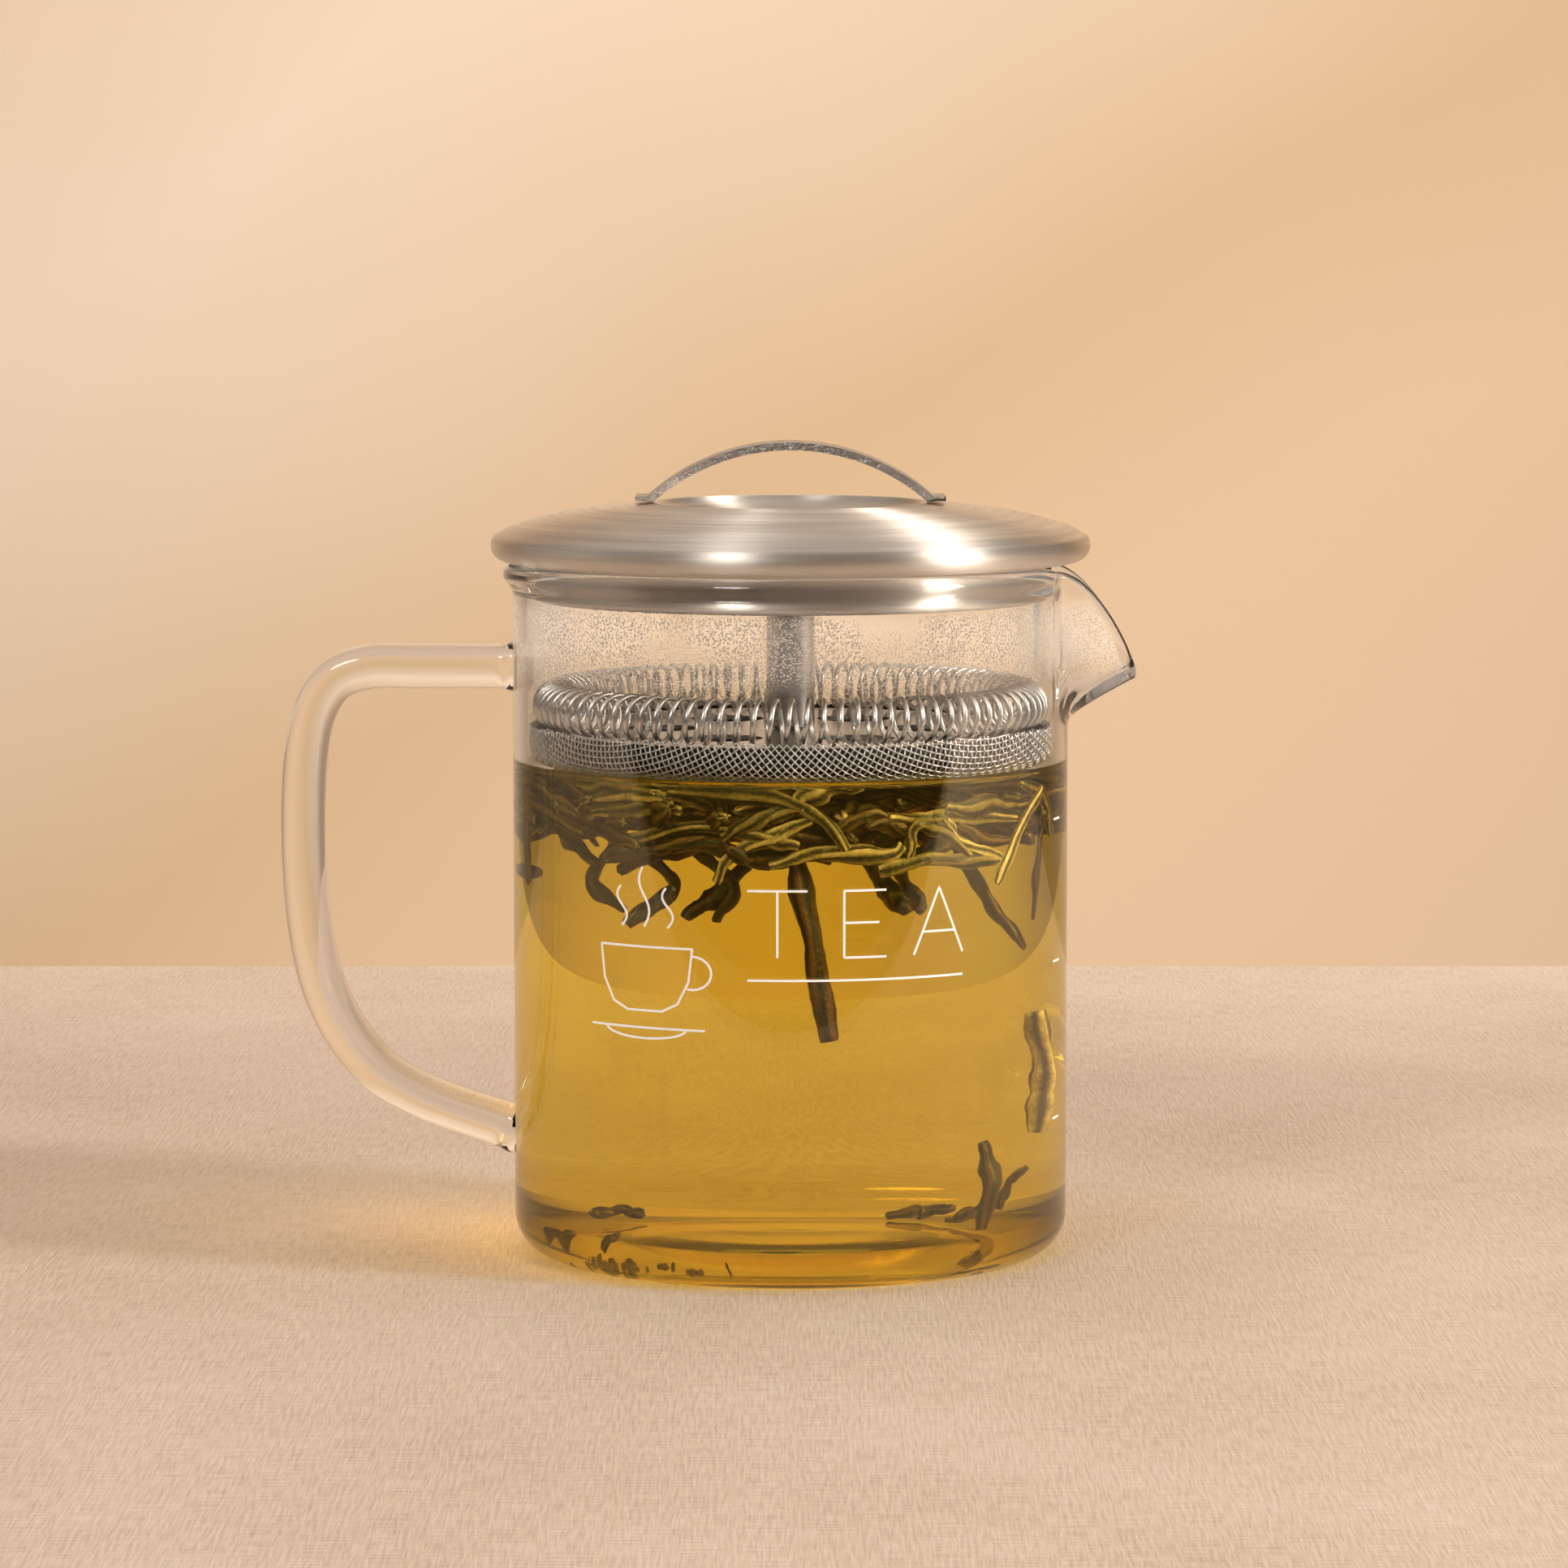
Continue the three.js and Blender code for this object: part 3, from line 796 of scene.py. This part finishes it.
def buildGrip():
    # two arcs about one centre in the XZ plane, cut off level, with a short foot at each end
    centreZ = grip["top"] - grip["outer"]
    inner = grip["outer"] - grip["sheet"]
    footTop = grip["foot"] + grip["footHeight"]
    outerStart = math.degrees(math.asin((footTop - centreZ) / grip["outer"]))
    innerStart = math.degrees(math.asin((grip["foot"] - centreZ) / inner))
    outline = np.vstack([
        [grip["footEnd"], grip["foot"]], [grip["footEnd"], footTop],
        arc(0, centreZ, grip["outer"], outerStart, 180 - outerStart, 64), [-grip["footEnd"], footTop],
        [-grip["footEnd"], grip["foot"]], arc(0, centreZ, inner, 180 - innerStart, innerStart, 64),
    ])
    half = grip["width"] / 2
    near = np.column_stack([outline[:, 0], np.full(len(outline), -half), outline[:, 1]])
    far = near * [1, -1, 1]
    count = len(outline)
    mesh = bpy.data.meshes.new("lidGrip")
    quads = gridFaces(2, count, False, True).tolist()
    # each flat side is a strip of quads between the two arcs
    top = np.arange(1, count // 2)
    bottom = count - top
    strip = np.stack([top, bottom % count, (bottom - 1) % count, top + 1], axis=-1)
    sides = strip.tolist() + (strip[:, ::-1] + count).tolist()
    mesh.from_pydata((np.vstack([near, far]) * mm).tolist(), [], quads + sides)
    mesh.update()
    return faceOutwards(setDown("lidGrip", mesh))


def buildStem():
    # a tube with a flange that rests on the pan
    bottom = bottomOf("stem_tube")
    flangeZ = pan["bottom"] + pan["sheet"] + 0.3
    return turned("stemTube", [
        (stem["bore"], bottom), (stem["radius"] - 0.2, bottom), (stem["radius"], bottom + 0.2),
        (stem["radius"], flangeZ), (stem["flange"], flangeZ), (stem["flange"], flangeZ + 1),
        (stem["bore"], flangeZ + 1),
    ], 96)


dress(buildLidTop(), lidSteel, "lid", "brushed_lid_steel", "lid_top")
dress(buildLidPan(), panSteel, "lid", "satin_pan_steel", "lid_pan")
dress(buildGrip(), strapSteel, "lid", "satin_pan_steel", "lid_grip")
dress(buildStem(), tubeSteel, "lid", "satin_pan_steel", "stem_tube")
report("lid")


# strainer

coil = {"radius": 36.3, "loop": 3.3, "wire": 0.4, "turns": 96, "z": 85.6}
plate = {"radius": 38.0, "bevel": 0.15, "holes": 6, "holeRadius": 5.8, "holeCircle": 20.0}
screw = {"shank": 2.2, "head": 4.5, "headHeight": 1.6, "headRound": 1.2, "hole": 2.5}
cloth = {
    "pitch": 0.90, "wire": 0.125,
    "profile": [
        (0, 80.3), (15, 80.3), (26, 79.2), (34, 78.0), (37.6, 76.85), (39.5, 77.7), (40.25, 79.6),
        (40.3, 82.9),
    ],
}
clampPlate = {"radius": 14.0, "bevel": 0.25}
# how far behind the cloth its lining of painted shade lies
lining = {"near": 0.75, "far": 0.95}


def wireFinish(name, colour, roughness):
    # bright wire, a little uneven in colour and gloss
    f = Finish(name)
    tone = f.noise(f.place(), 420, 2)
    dark = tuple(c * 0.6 for c in colour)
    return f.done(f.surface({
        "Base Color": f.blend(tone, dark, colour), "Metallic": 1.0, "Roughness": tone * 0.12 + roughness,
    }))


springSteel = wireFinish("springWire", (0.96, 0.92, 0.86), 0.24)
clothSteel = wireFinish("wovenWire", (0.98, 0.95, 0.91), 0.34)


def buildCoil():
    # a helix wound round a ring: the loop angle runs turns times as fast as the ring angle
    t = np.linspace(0, 1, coil["turns"] * 20 + 1)
    around = (0.003 + t * 0.994) * turn
    loop = t * coil["turns"] * turn
    r = coil["radius"] + coil["loop"] * np.cos(loop)
    path = atAngle(r, around, coil["z"] + coil["loop"] * np.sin(loop))
    a = np.arange(8) / 8 * turn
    ring = np.stack([np.cos(a), np.sin(a)], axis=-1) * coil["wire"]
    # the ring's own direction stays clear of the wire's, so it sets the sections
    return oneTube("springCoil", tubeGrid(path, ring[None], atAngle(1, around + turn / 4, 0)))


def clothSurface(p, q, lift):
    # bends flat cloth to the strainer's shape: distance from the middle becomes distance along the profile
    profile = spline(cloth["profile"], 12)
    along = distanceAlong(profile)
    way = unit(np.gradient(profile, axis=0))
    rho = np.hypot(p, q)
    r = np.interp(rho, along, profile[:, 0])
    z = np.interp(rho, along, profile[:, 1])
    outR = np.interp(rho, along, -way[:, 1])
    outZ = np.interp(rho, along, way[:, 0])
    return atAngle(r + outR * lift, np.arctan2(q, p), z + outZ * lift), along[-1]


def buildClothWires(name, direction, phase):
    # one set of wires: each runs over and under the other set, as cos(pi * (step + row))
    reach = clothSurface(np.zeros(1), np.zeros(1), 0)[1]
    rows = np.arange(-int(reach / cloth["pitch"]), int(reach / cloth["pitch"]) + 1)
    wires = TubeSet()
    a = np.arange(4) / 4 * turn
    d = np.array([math.cos(direction), math.sin(direction)])
    n = np.array([-d[1], d[0]])
    for row in rows:
        offset = row * cloth["pitch"]
        half = math.sqrt(max(reach ** 2 - offset ** 2, 0))
        count = int(half / cloth["pitch"] * 2)
        if count < 3:
            continue
        step = np.arange(-count, count + 1) / 2
        s = step * cloth["pitch"]
        wave = cloth["wire"] * 1.05 * np.cos(math.pi * (step + row + phase))
        p, q = offset * n[0] + s * d[0], offset * n[1] + s * d[1]
        centre = clothSurface(p, q, wave)[0]
        normal = unit(clothSurface(p, q, wave + 0.1)[0] - centre)
        tangent = unit(np.gradient(centre, axis=0))
        side = unit(np.cross(tangent, normal))
        cosA, sinA = np.cos(a)[None, :, None], np.sin(a)[None, :, None]
        wires.add(centre[:, None] + cloth["wire"] * (cosA * side[:, None] + sinA * normal[:, None]))
    return faceOutwards(wires.mesh(name))


def buildDisc(name, node, disc, columns):
    # a disc with a hole for the screw and bevelled edges, as high as its frame node
    low, high = bottomOf(node), topOf(node)
    r, bevel, hole = disc["radius"], disc["bevel"], screw["hole"]
    return turned(name, [
        (hole, low), (r - bevel, low), (r, low + bevel), (r, high - bevel), (r - bevel, high), (hole, high),
    ], columns)


def buildPlate():
    # the disc, then a ring of round holes bored through it
    low, high, r = bottomOf("strainer_plate") - 2, topOf("strainer_plate") + 2, plate["holeRadius"]
    blank = buildDisc("strainerPlate", "strainer_plate", plate, 128)
    for k in range(plate["holes"]):
        angle = k / plate["holes"] * turn
        drill = turned("drill", [(0, low), (r, low), (r, high), (0, high)], 48)
        x, y = plate["holeCircle"] * math.cos(angle), plate["holeCircle"] * math.sin(angle)
        drill.data.transform(Matrix.Translation((x * mm, y * mm, 0)))
        carve(blank, drill, "DIFFERENCE")
    blank.data.set_sharp_from_angle(angle=math.radians(35))
    return blank


def buildScrew():
    # a round head below a plain shank
    low, high = bottomOf("clamp_screw"), topOf("clamp_screw")
    rounding, shank, under = screw["headRound"], screw["shank"], low + screw["headHeight"]
    return turned("clampScrew", np.vstack([
        [0, low], arc(screw["head"] - rounding, low + rounding, rounding, -90, 0, 6), [screw["head"], under],
        [shank, under], [shank, high - 0.5], [shank - 0.5, high], [0, high],
    ]), 64)


def shadeLiningFinish():
    f = Finish("shadeLining")
    # painted shade: near-black to dark brown tones for the shaded space behind the cloth
    shadeTones = [(0.35, (0.010, 0.007, 0.004)), (0.7, (0.050, 0.032, 0.014))]
    return f.done(f.surface({"Base Color": f.ramp(f.noise(f.place(), 700, 3), shadeTones), "Roughness": 0.5}))


def buildShadeLining():
    # painted shade behind the cloth: a thin near-black shell that follows it, standing for the shaded space
    # under the plate
    profile = spline(cloth["profile"][2:], 8)[:-2]
    way = unit(np.gradient(profile, axis=0))
    normal = np.stack([-way[:, 1], way[:, 0]], axis=-1)
    near, far = profile + normal * lining["near"], profile + normal * lining["far"]
    return turned("shadeLining", np.vstack([near, far[::-1]]), 128, 60)


dress(buildShadeLining(), shadeLiningFinish(), "strainer", "woven_wire")
dress(buildCoil(), springSteel, "strainer", "spring_wire", "spring_coil")
warp = buildClothWires("clothWarp", math.radians(45), 0)
dress(warp, clothSteel, "strainer", "woven_wire", "strainer_mesh")
dress(buildClothWires("clothWeft", math.radians(135), 1), clothSteel, "strainer", "woven_wire")
dress(buildPlate(), tubeSteel, "strainer", "satin_pan_steel", "strainer_plate")
clamp = buildDisc("clampPlate", "clamp_plate", clampPlate, 96)
dress(clamp, tubeSteel, "strainer", "satin_pan_steel", "clamp_plate")
dress(buildScrew(), tubeSteel, "strainer", "satin_pan_steel", "clamp_screw")
report("strainer")


# leaves

# no leaf passes the limit, which is a radius, or the ceiling. It is squeezed over the margin and the ease
leaves = {
    "mat": 150, "matReach": 38.5, "matTop": 74.6, "matDepth": 9.0, "ceiling": 76.0, "frontCeiling": 77.0,
    "ease": 1.5, "limit": 40.3, "margin": 3, "crumbs": 22, "seed": 7, "points": 28, "sides": 14,
}
rng = np.random.default_rng(leaves["seed"])


def leafFinish():
    # wet rolled leaf: dark brown, olive or straw by its hue, with long ridges, mottling and a gloss. The
    # creases between ridges are darkened in the colour as painted shade, mixed with the vein texture
    f = Finish("wetLeaf")
    place = f.place()
    hue, ridge = f.fraction("hue"), f.fraction("ridge")
    mottle = f.noise(place, 380, 4, 0.6)
    veins = f.noise(place, 1600, 3)
    colour = f.ramp(hue + (mottle - 0.5) * 0.55, [
        (0.0, (0.030, 0.012, 0.004)), (0.25, (0.125, 0.044, 0.012)), (0.46, (0.170, 0.090, 0.028)),
        (0.62, (0.230, 0.170, 0.060)), (0.78, (0.54, 0.40, 0.22)), (1.0, (0.95, 0.76, 0.54)),
    ])
    # painted shade in the creases between ridges, mixed with the vein texture, multiplied into the colour
    creaseShadeAndVeins = f.ramp(ridge * 0.65 + veins * 0.35, [(0.30, (0.05, 0.04, 0.03)), (0.74, (1.0, 1.0, 1.0))])
    return f.done(f.surface({
        "Base Color": f.blend(1.0, colour, creaseShadeAndVeins, "MULTIPLY"), "Roughness": 0.50 - mottle * 0.22,
        "Coat Weight": 0.3, "Coat Roughness": 0.15, "Normal": f.bump(veins + ridge * 0.6, 0.8, 0.0003),
    }))


def waver(t, rate, depth):
    # three sine waves with random phases, of growing rate and falling depth
    k = np.arange(1, 4)[:, None]
    return (depth / k * np.sin(rate * k * t[None] + rng.uniform(0, turn, (3, 1)))).sum(axis=0)


def leafTube(path, width, flatness, start=None):
    # a rolled leaf: an oval that twists along its length, blunt at both ends, with ridges round it
    t = np.linspace(0, 1, len(path))
    blunt = np.sin(math.pi * (t * 0.92 + 0.04)) ** 0.26
    taper = width / 2 * blunt * (1 + waver(t, 8, 0.16) + waver(t, 31, 0.05))
    a = np.arange(leaves["sides"]) / leaves["sides"] * turn
    twist = rng.uniform(0, turn) + t * rng.normal(0, 1.8) if start is None else start + t * 0
    ridge = 0.5 + 0.5 * np.cos(4 * a[None] + twist[:, None] * 1.5 + waver(t, 5, 0.8)[:, None])
    r = 1 - 0.38 * ridge ** 2
    x = r * np.cos(a)[None]
    y = r * np.sin(a)[None] * flatness
    cosT, sinT = np.cos(twist)[:, None], np.sin(twist)[:, None]
    section = np.stack([x * cosT - y * sinT, x * sinT + y * cosT], axis=-1) * taper[:, None, None]
    chord = np.abs(path[-1] - path[0])
    reference = np.eye(3)[np.argmin(chord)]
    return tubeGrid(path, section, reference), 1 - ridge


def keepInside(grid, ceiling):
    # draws in what would pass the wall or the ceiling: past the margin before it, distance is squeezed by
    # margin * (1 - exp(-excess / margin))
    r = np.hypot(grid[..., 0], grid[..., 1])
    soft, margin = leaves["limit"] - leaves["margin"], leaves["margin"]
    squeezed = np.minimum(r, soft) + margin * (1 - np.exp(-np.maximum(r - soft, 0) / margin))
    grid = grid * np.stack([squeezed / np.maximum(r, 1e-6)] * 2 + [np.ones_like(r)], axis=-1)
    z, ease = grid[..., 2], leaves["ease"]
    grid[..., 2] = np.where(z > ceiling - ease, ceiling - ease * np.exp((ceiling - ease - z) / ease), z)
    return grid


class LeafPile(TubeSet):
    # rolled leaves in one mesh, each with its hue and its ridges
    def __init__(self):
        super().__init__()
        self.hue, self.ridge = [], []

    def addLeaf(self, path, width, flatness, hue, ceiling=leaves["ceiling"], start=None):
        grid, ridge = leafTube(path, width, flatness, start)
        self.add(keepInside(grid, ceiling))
        # the cut ends are paler than the skin
        pale = 0.22 * smoothstep(np.abs(np.linspace(0, 1, len(path)) - 0.5), 0.44, 0.5)
        self.hue.append(np.append(np.repeat(hue + pale, leaves["sides"]), [hue + 0.3, hue + 0.3]))
        self.ridge.append(np.append(ridge.ravel(), [0.5, 0.5]))

    def leafMesh(self, name):
        return self.mesh(name, 0, {"hue": np.concatenate(self.hue), "ridge": np.concatenate(self.ridge)})


# leaves pressed against the front of the glass: points of (x, height), how far in, width, hue
frontLeaves = [
    ([(-18, 75.5), (-5, 74.8), (4, 72.0), (8.0, 66.8)], 0.6, 2.3, 0.62),
    ([(-31, 74.4), (-26, 75.5), (-18, 74.6)], 1.2, 2.6, 0.58),
    ([(-30, 72.6), (-22, 74.0), (-17, 73.6)], 0.8, 2.2, 0.72),
    ([(-29, 71.0), (-22, 72.4), (-16, 72.4)], 1.6, 2.4, 0.66),
    ([(-24, 67.6), (-14, 70.0), (-4, 68.4), (1, 67.2)], 2.2, 2.2, 0.70),
    ([(-10, 68.8), (-4, 71.4), (2, 73.2)], 1.0, 2.3, 0.60),
    ([(-11, 61.6), (-8.5, 66.0), (-2, 69.0), (3, 71.0)], 1.6, 2.0, 0.78),
    ([(-3, 64.4), (4, 66.4), (13, 65.4), (16, 67.0)], 1.4, 2.4, 0.74),
    ([(0, 73.6), (5, 76.0), (10.5, 76.4)], 1.2, 2.6, 0.76),
    ([(14, 71.0), (22, 70.8), (32, 69.6)], 2.4, 2.4, 0.70),
    ([(13, 63.2), (20, 65.0), (30, 63.6)], 0.9, 2.7, 0.62),
    ([(17, 65.2), (18.4, 69.6), (22, 69.2), (26, 65.0)], 1.0, 2.2, 0.64),
    ([(23, 71.0), (25, 67.0), (31, 64.0)], 0.7, 1.5, 0.86),
    ([(24, 69.6), (28, 67.2), (33, 66.4)], 1.6, 1.6, 0.34),
    ([(30, 60.0), (33, 67.0), (36.2, 73.8)], 0.7, 1.9, 0.90),
    ([(33, 74.6), (36, 72.0), (37, 66.0)], 1.6, 2.0, 0.56),
    ([(-38, 72.4), (-35, 70.0), (-30, 68.0)], 1.2, 2.2, 0.40),
    ([(-37, 75.0), (-35, 73.0), (-31, 70.4)], 0.8, 2.4, 0.50),
    ([(6, 69.4), (12, 71.6), (17, 69.4)], 2.8, 2.2, 0.46),
    ([(-20, 66.6), (-13, 67.6), (-6, 65.0)], 2.6, 2.2, 0.42),
]

# leaves that hang out of the mat: top, middle, bottom, width and hue
hangingLeaves = [
    ((0.0, -33, 67), (3.2, -33, 53), (5.2, -32, 37.4), 4.2, 0.20),
    ((22, -22, 68), (28, -22, 57), (35.0, -20, 50), 2.8, 0.14),
    ((-38, -9, 72), (-38.5, -9, 66), (-36.8, -9, 58.4), 4.0, 0.08),
    ((-22, -22, 67), (-15.5, -22, 60), (-23, -23, 54), 3.0, 0.10),
    ((-14, -24, 67), (-8, -25, 60), (-10, -25, 55), 3.0, 0.10),
    ((-24, -18, 66), (-27, -18, 60), (-22, -18, 56), 2.6, 0.08),
    ((-4, -24, 66), (-10, -24, 59), (-14, -23, 55), 3.0, 0.10),
    ((13, -24, 66), (16, -25, 60), (18.5, -24, 56.4), 3.8, 0.12),
    ((36, -12, 70), (35.6, -14, 64), (34.0, -15, 54), 1.8, 0.12),
    ((5, 20, 67), (9, 22, 58), (12, 20, 52), 3.2, 0.06),
    ((-20, 25, 67), (-24, 26, 60), (-22, 27, 55), 3.0, 0.06),
    ((24, 22, 68), (27, 24, 60), (24, 25, 57), 2.8, 0.06),
]

# loose pieces on the floor of the vessel, laid out the same way
sunkenLeaves = [
    ((24.5, -10, 5.6), (26.0, -10, 12), (24.5, -10, 19.4), 2.8, 0.16),
    ((26, -6, 8), (28, -7, 12.5), (31, -8, 14.6), 2.2, 0.24),
    ((10, 14, 5.2), (14, 15, 5.6), (17, 14, 6.6), 2.8, 0.10),
    ((17, 10, 5), (20, 11, 5.6), (22, 11, 8), 2.6, 0.10),
    ((-34, -12, 5.4), (-31.6, -15, 4.6), (-30, -17, 5.4), 2.4, 0.08),
    ((-26, -22, 4.8), (-25, -23, 5.6), (-24, -23, 7), 1.8, 0.08),
    ((-20, 16, 5), (-17, 18, 5.3), (-15, 17, 5), 2.2, 0.10),
]


def bentPath(points):
    # a curve through the given points, with a slight random waver on all three axes
    path = spline(points, leaves["points"] // (len(points) - 1))
    t = np.linspace(0, 1, len(path))
    return path + np.stack([waver(t, 6, 0.22) for axis in range(3)], axis=-1)


def addCurved(pile, rows):
    for start, knee, end, width, hue in rows:
        pile.addLeaf(bentPath([start, knee, end]), width, 0.7, hue)


def buildMat(pile):
    # the floating mat: sticks at all angles in plan, a few degrees off level, thickest near the wall
    for k in range(leaves["mat"]):
        r = leaves["matReach"] * math.sqrt(rng.uniform(0.10, 1.0))
        angle = rng.uniform(0, turn)
        depth = rng.uniform(0, 1) ** 1.2
        heading = angle + math.pi / 2 + rng.normal(0, 0.7)
        slope = rng.normal(0, 0.22)
        length = rng.uniform(11, 27)
        way = unit(np.array([math.cos(heading), math.sin(heading), slope]))
        across = np.array([-way[1], way[0], 0])
        middle = atAngle(r, angle, leaves["matTop"] - leaves["matDepth"] * depth)
        t = np.linspace(-0.5, 0.5, leaves["points"])
        bend = rng.uniform(-0.22, 0.22) * (t * 2) ** 2 + waver(t, 6, 0.025)
        lift = waver(t, 5, 0.03)
        path = middle + length * (t[:, None] * way + bend[:, None] * across + lift[:, None] * [0, 0, 1])
        hue = float(np.clip(rng.normal(0.54 - 0.46 * depth, 0.22), 0.04, 0.95))
        pile.addLeaf(path, rng.uniform(2.0, 3.8), rng.uniform(0.5, 0.9), hue)


def buildLeaves():
    pile = LeafPile()
    buildMat(pile)
    for line, inset, width, hue in frontLeaves:
        flat = np.array(line, float)
        y = -np.sqrt(np.maximum((innerRadius - 1.2 - inset) ** 2 - flat[:, 0] ** 2, 4))
        path = bentPath(np.column_stack([flat[:, 0], y, flat[:, 1]]))
        pile.addLeaf(path, width * 1.3, 0.75, hue, leaves["frontCeiling"])
    addCurved(pile, hangingLeaves)
    return pile.leafMesh("floatingLeaves")


def buildSunken():
    pile = LeafPile()
    addCurved(pile, sunkenLeaves)
    for k in range(leaves["crumbs"]):
        # crumbs in the trough round the raised middle, at the front left
        angle, r = rng.normal(-2.35, 0.22), rng.uniform(32, 37)
        middle = atAngle(r, angle, 3.2)
        way = unit(rng.normal(0, 1, 3) * [1, 1, 0.3]) * rng.uniform(0.3, 0.9)
        pile.addLeaf(middle + np.linspace(-1, 1, 5)[:, None] * way, rng.uniform(0.5, 1.0), 0.7, 0.15)
    # a broad leaf that stands near the wall
    broad = spline([(30.4, 0, 19), (31.2, 1, 28), (30.2, 0, 38)], leaves["points"] // 2)
    pile.addLeaf(broad, 5.6, 0.25, 0.80, start=0.0)
    return pile.leafMesh("sunkenLeaves")


leafSkin = leafFinish()
dress(buildLeaves(), leafSkin, "vessel", "clear_glass")
dress(buildSunken(), leafSkin, "vessel", "clear_glass")
report("leaves")


# printed marks

ink = {"width": 0.34, "thickness": 0.06, "radius": vessel["radius"] + 0.01}


def oval(x, z, wide, high, start=0, end=360, steps=24):
    # part of an ellipse as a line of points, angles in degrees
    a = np.radians(np.linspace(start, end, steps + 1))
    return np.stack([x + wide * np.cos(a), z + high * np.sin(a)], axis=-1)


# lines of (distance round the wall from the front, height): a cup with steam, a word, a rule and ticks
cupMark = [
    [
        (-31, 52), (-30.4, 47), (-28.6, 43.6), (-26, 42.4), (-20, 42.4), (-17.4, 43.6), (-15.6, 47),
        (-15, 52), (-31, 52),
    ],
    oval(-15.0, 48.4, 3.0, 2.5, -105, 90), [(-33, 39.8), (-13, 39.8)],
    oval(-23, 39.8, 7.0, 1.6, 180, 360),
]
steamMark = [
    np.column_stack([x + 0.9 * np.sin(np.linspace(0, 6, 20)), np.linspace(55, top, 20)])
    for x, top in ((-27, 61), (-23, 64), (-19, 61))
]
wordMark = [
    [(-6.5, 61.0), (2.5, 61.0)], [(-2, 61.0), (-2, 51.0)],
    [(14.5, 61.0), (8.0, 61.0), (8.0, 51.0), (14.5, 51.0)], [(8.0, 56.2), (13.4, 56.2)],
    [(19.0, 51.0), (23.3, 61.0), (27.6, 51.0)], [(20.6, 54.4), (26.0, 54.4)],
]
ruleMark = [[(-6.5, 47.6), (27.6, 47.6)]]
tickMarks = [[(52, z), (55, z)] for z in (68.9, 47.0, 22.7)]


def inkGrid(line):
    # a flat strip that follows a line on the round wall
    line = np.asarray(line, float)
    step = distanceAlong(line)
    count = max(int(step[-1] / 0.5), 3)
    at = np.union1d(np.linspace(0, step[-1], count), step)
    across, z = np.interp(at, step, line[:, 0]), np.interp(at, step, line[:, 1])
    angle = across / vessel["radius"] - math.pi / 2
    radial = atAngle(1, angle, 0)
    path = radial * ink["radius"] + z[:, None] * [0, 0, 1]
    side = unit(np.cross(np.gradient(path, axis=0), radial))
    corners = np.array([(-1, -1), (1, -1), (1, 1), (-1, 1)]) / 2
    return path[:, None] + corners[None, :, :1] * side[:, None] * ink["width"] \
        + corners[None, :, 1:] * radial[:, None] * ink["thickness"]


def buildInk():
    strips = TubeSet()
    for line in cupMark + steamMark + wordMark + ruleMark + tickMarks:
        strips.add(inkGrid(line))
    return faceOutwards(strips.mesh("printedMarks", 30))


def inkFinish():
    f = Finish("whiteInk")
    tone = f.ramp(f.noise(f.place(), 900, 2), [(0.3, (0.78, 0.76, 0.72)), (0.7, (0.90, 0.88, 0.84))])
    # the faint white emission is a painted glow that makes the print brighter than the lamps alone would
    return f.done(f.surface({
        "Base Color": tone, "Roughness": 0.5, "Emission Color": (1.0, 0.96, 0.90), "Emission Strength": 0.30,
    }))


dress(buildInk(), inkFinish(), "vessel", "clear_glass")
report("printed marks")
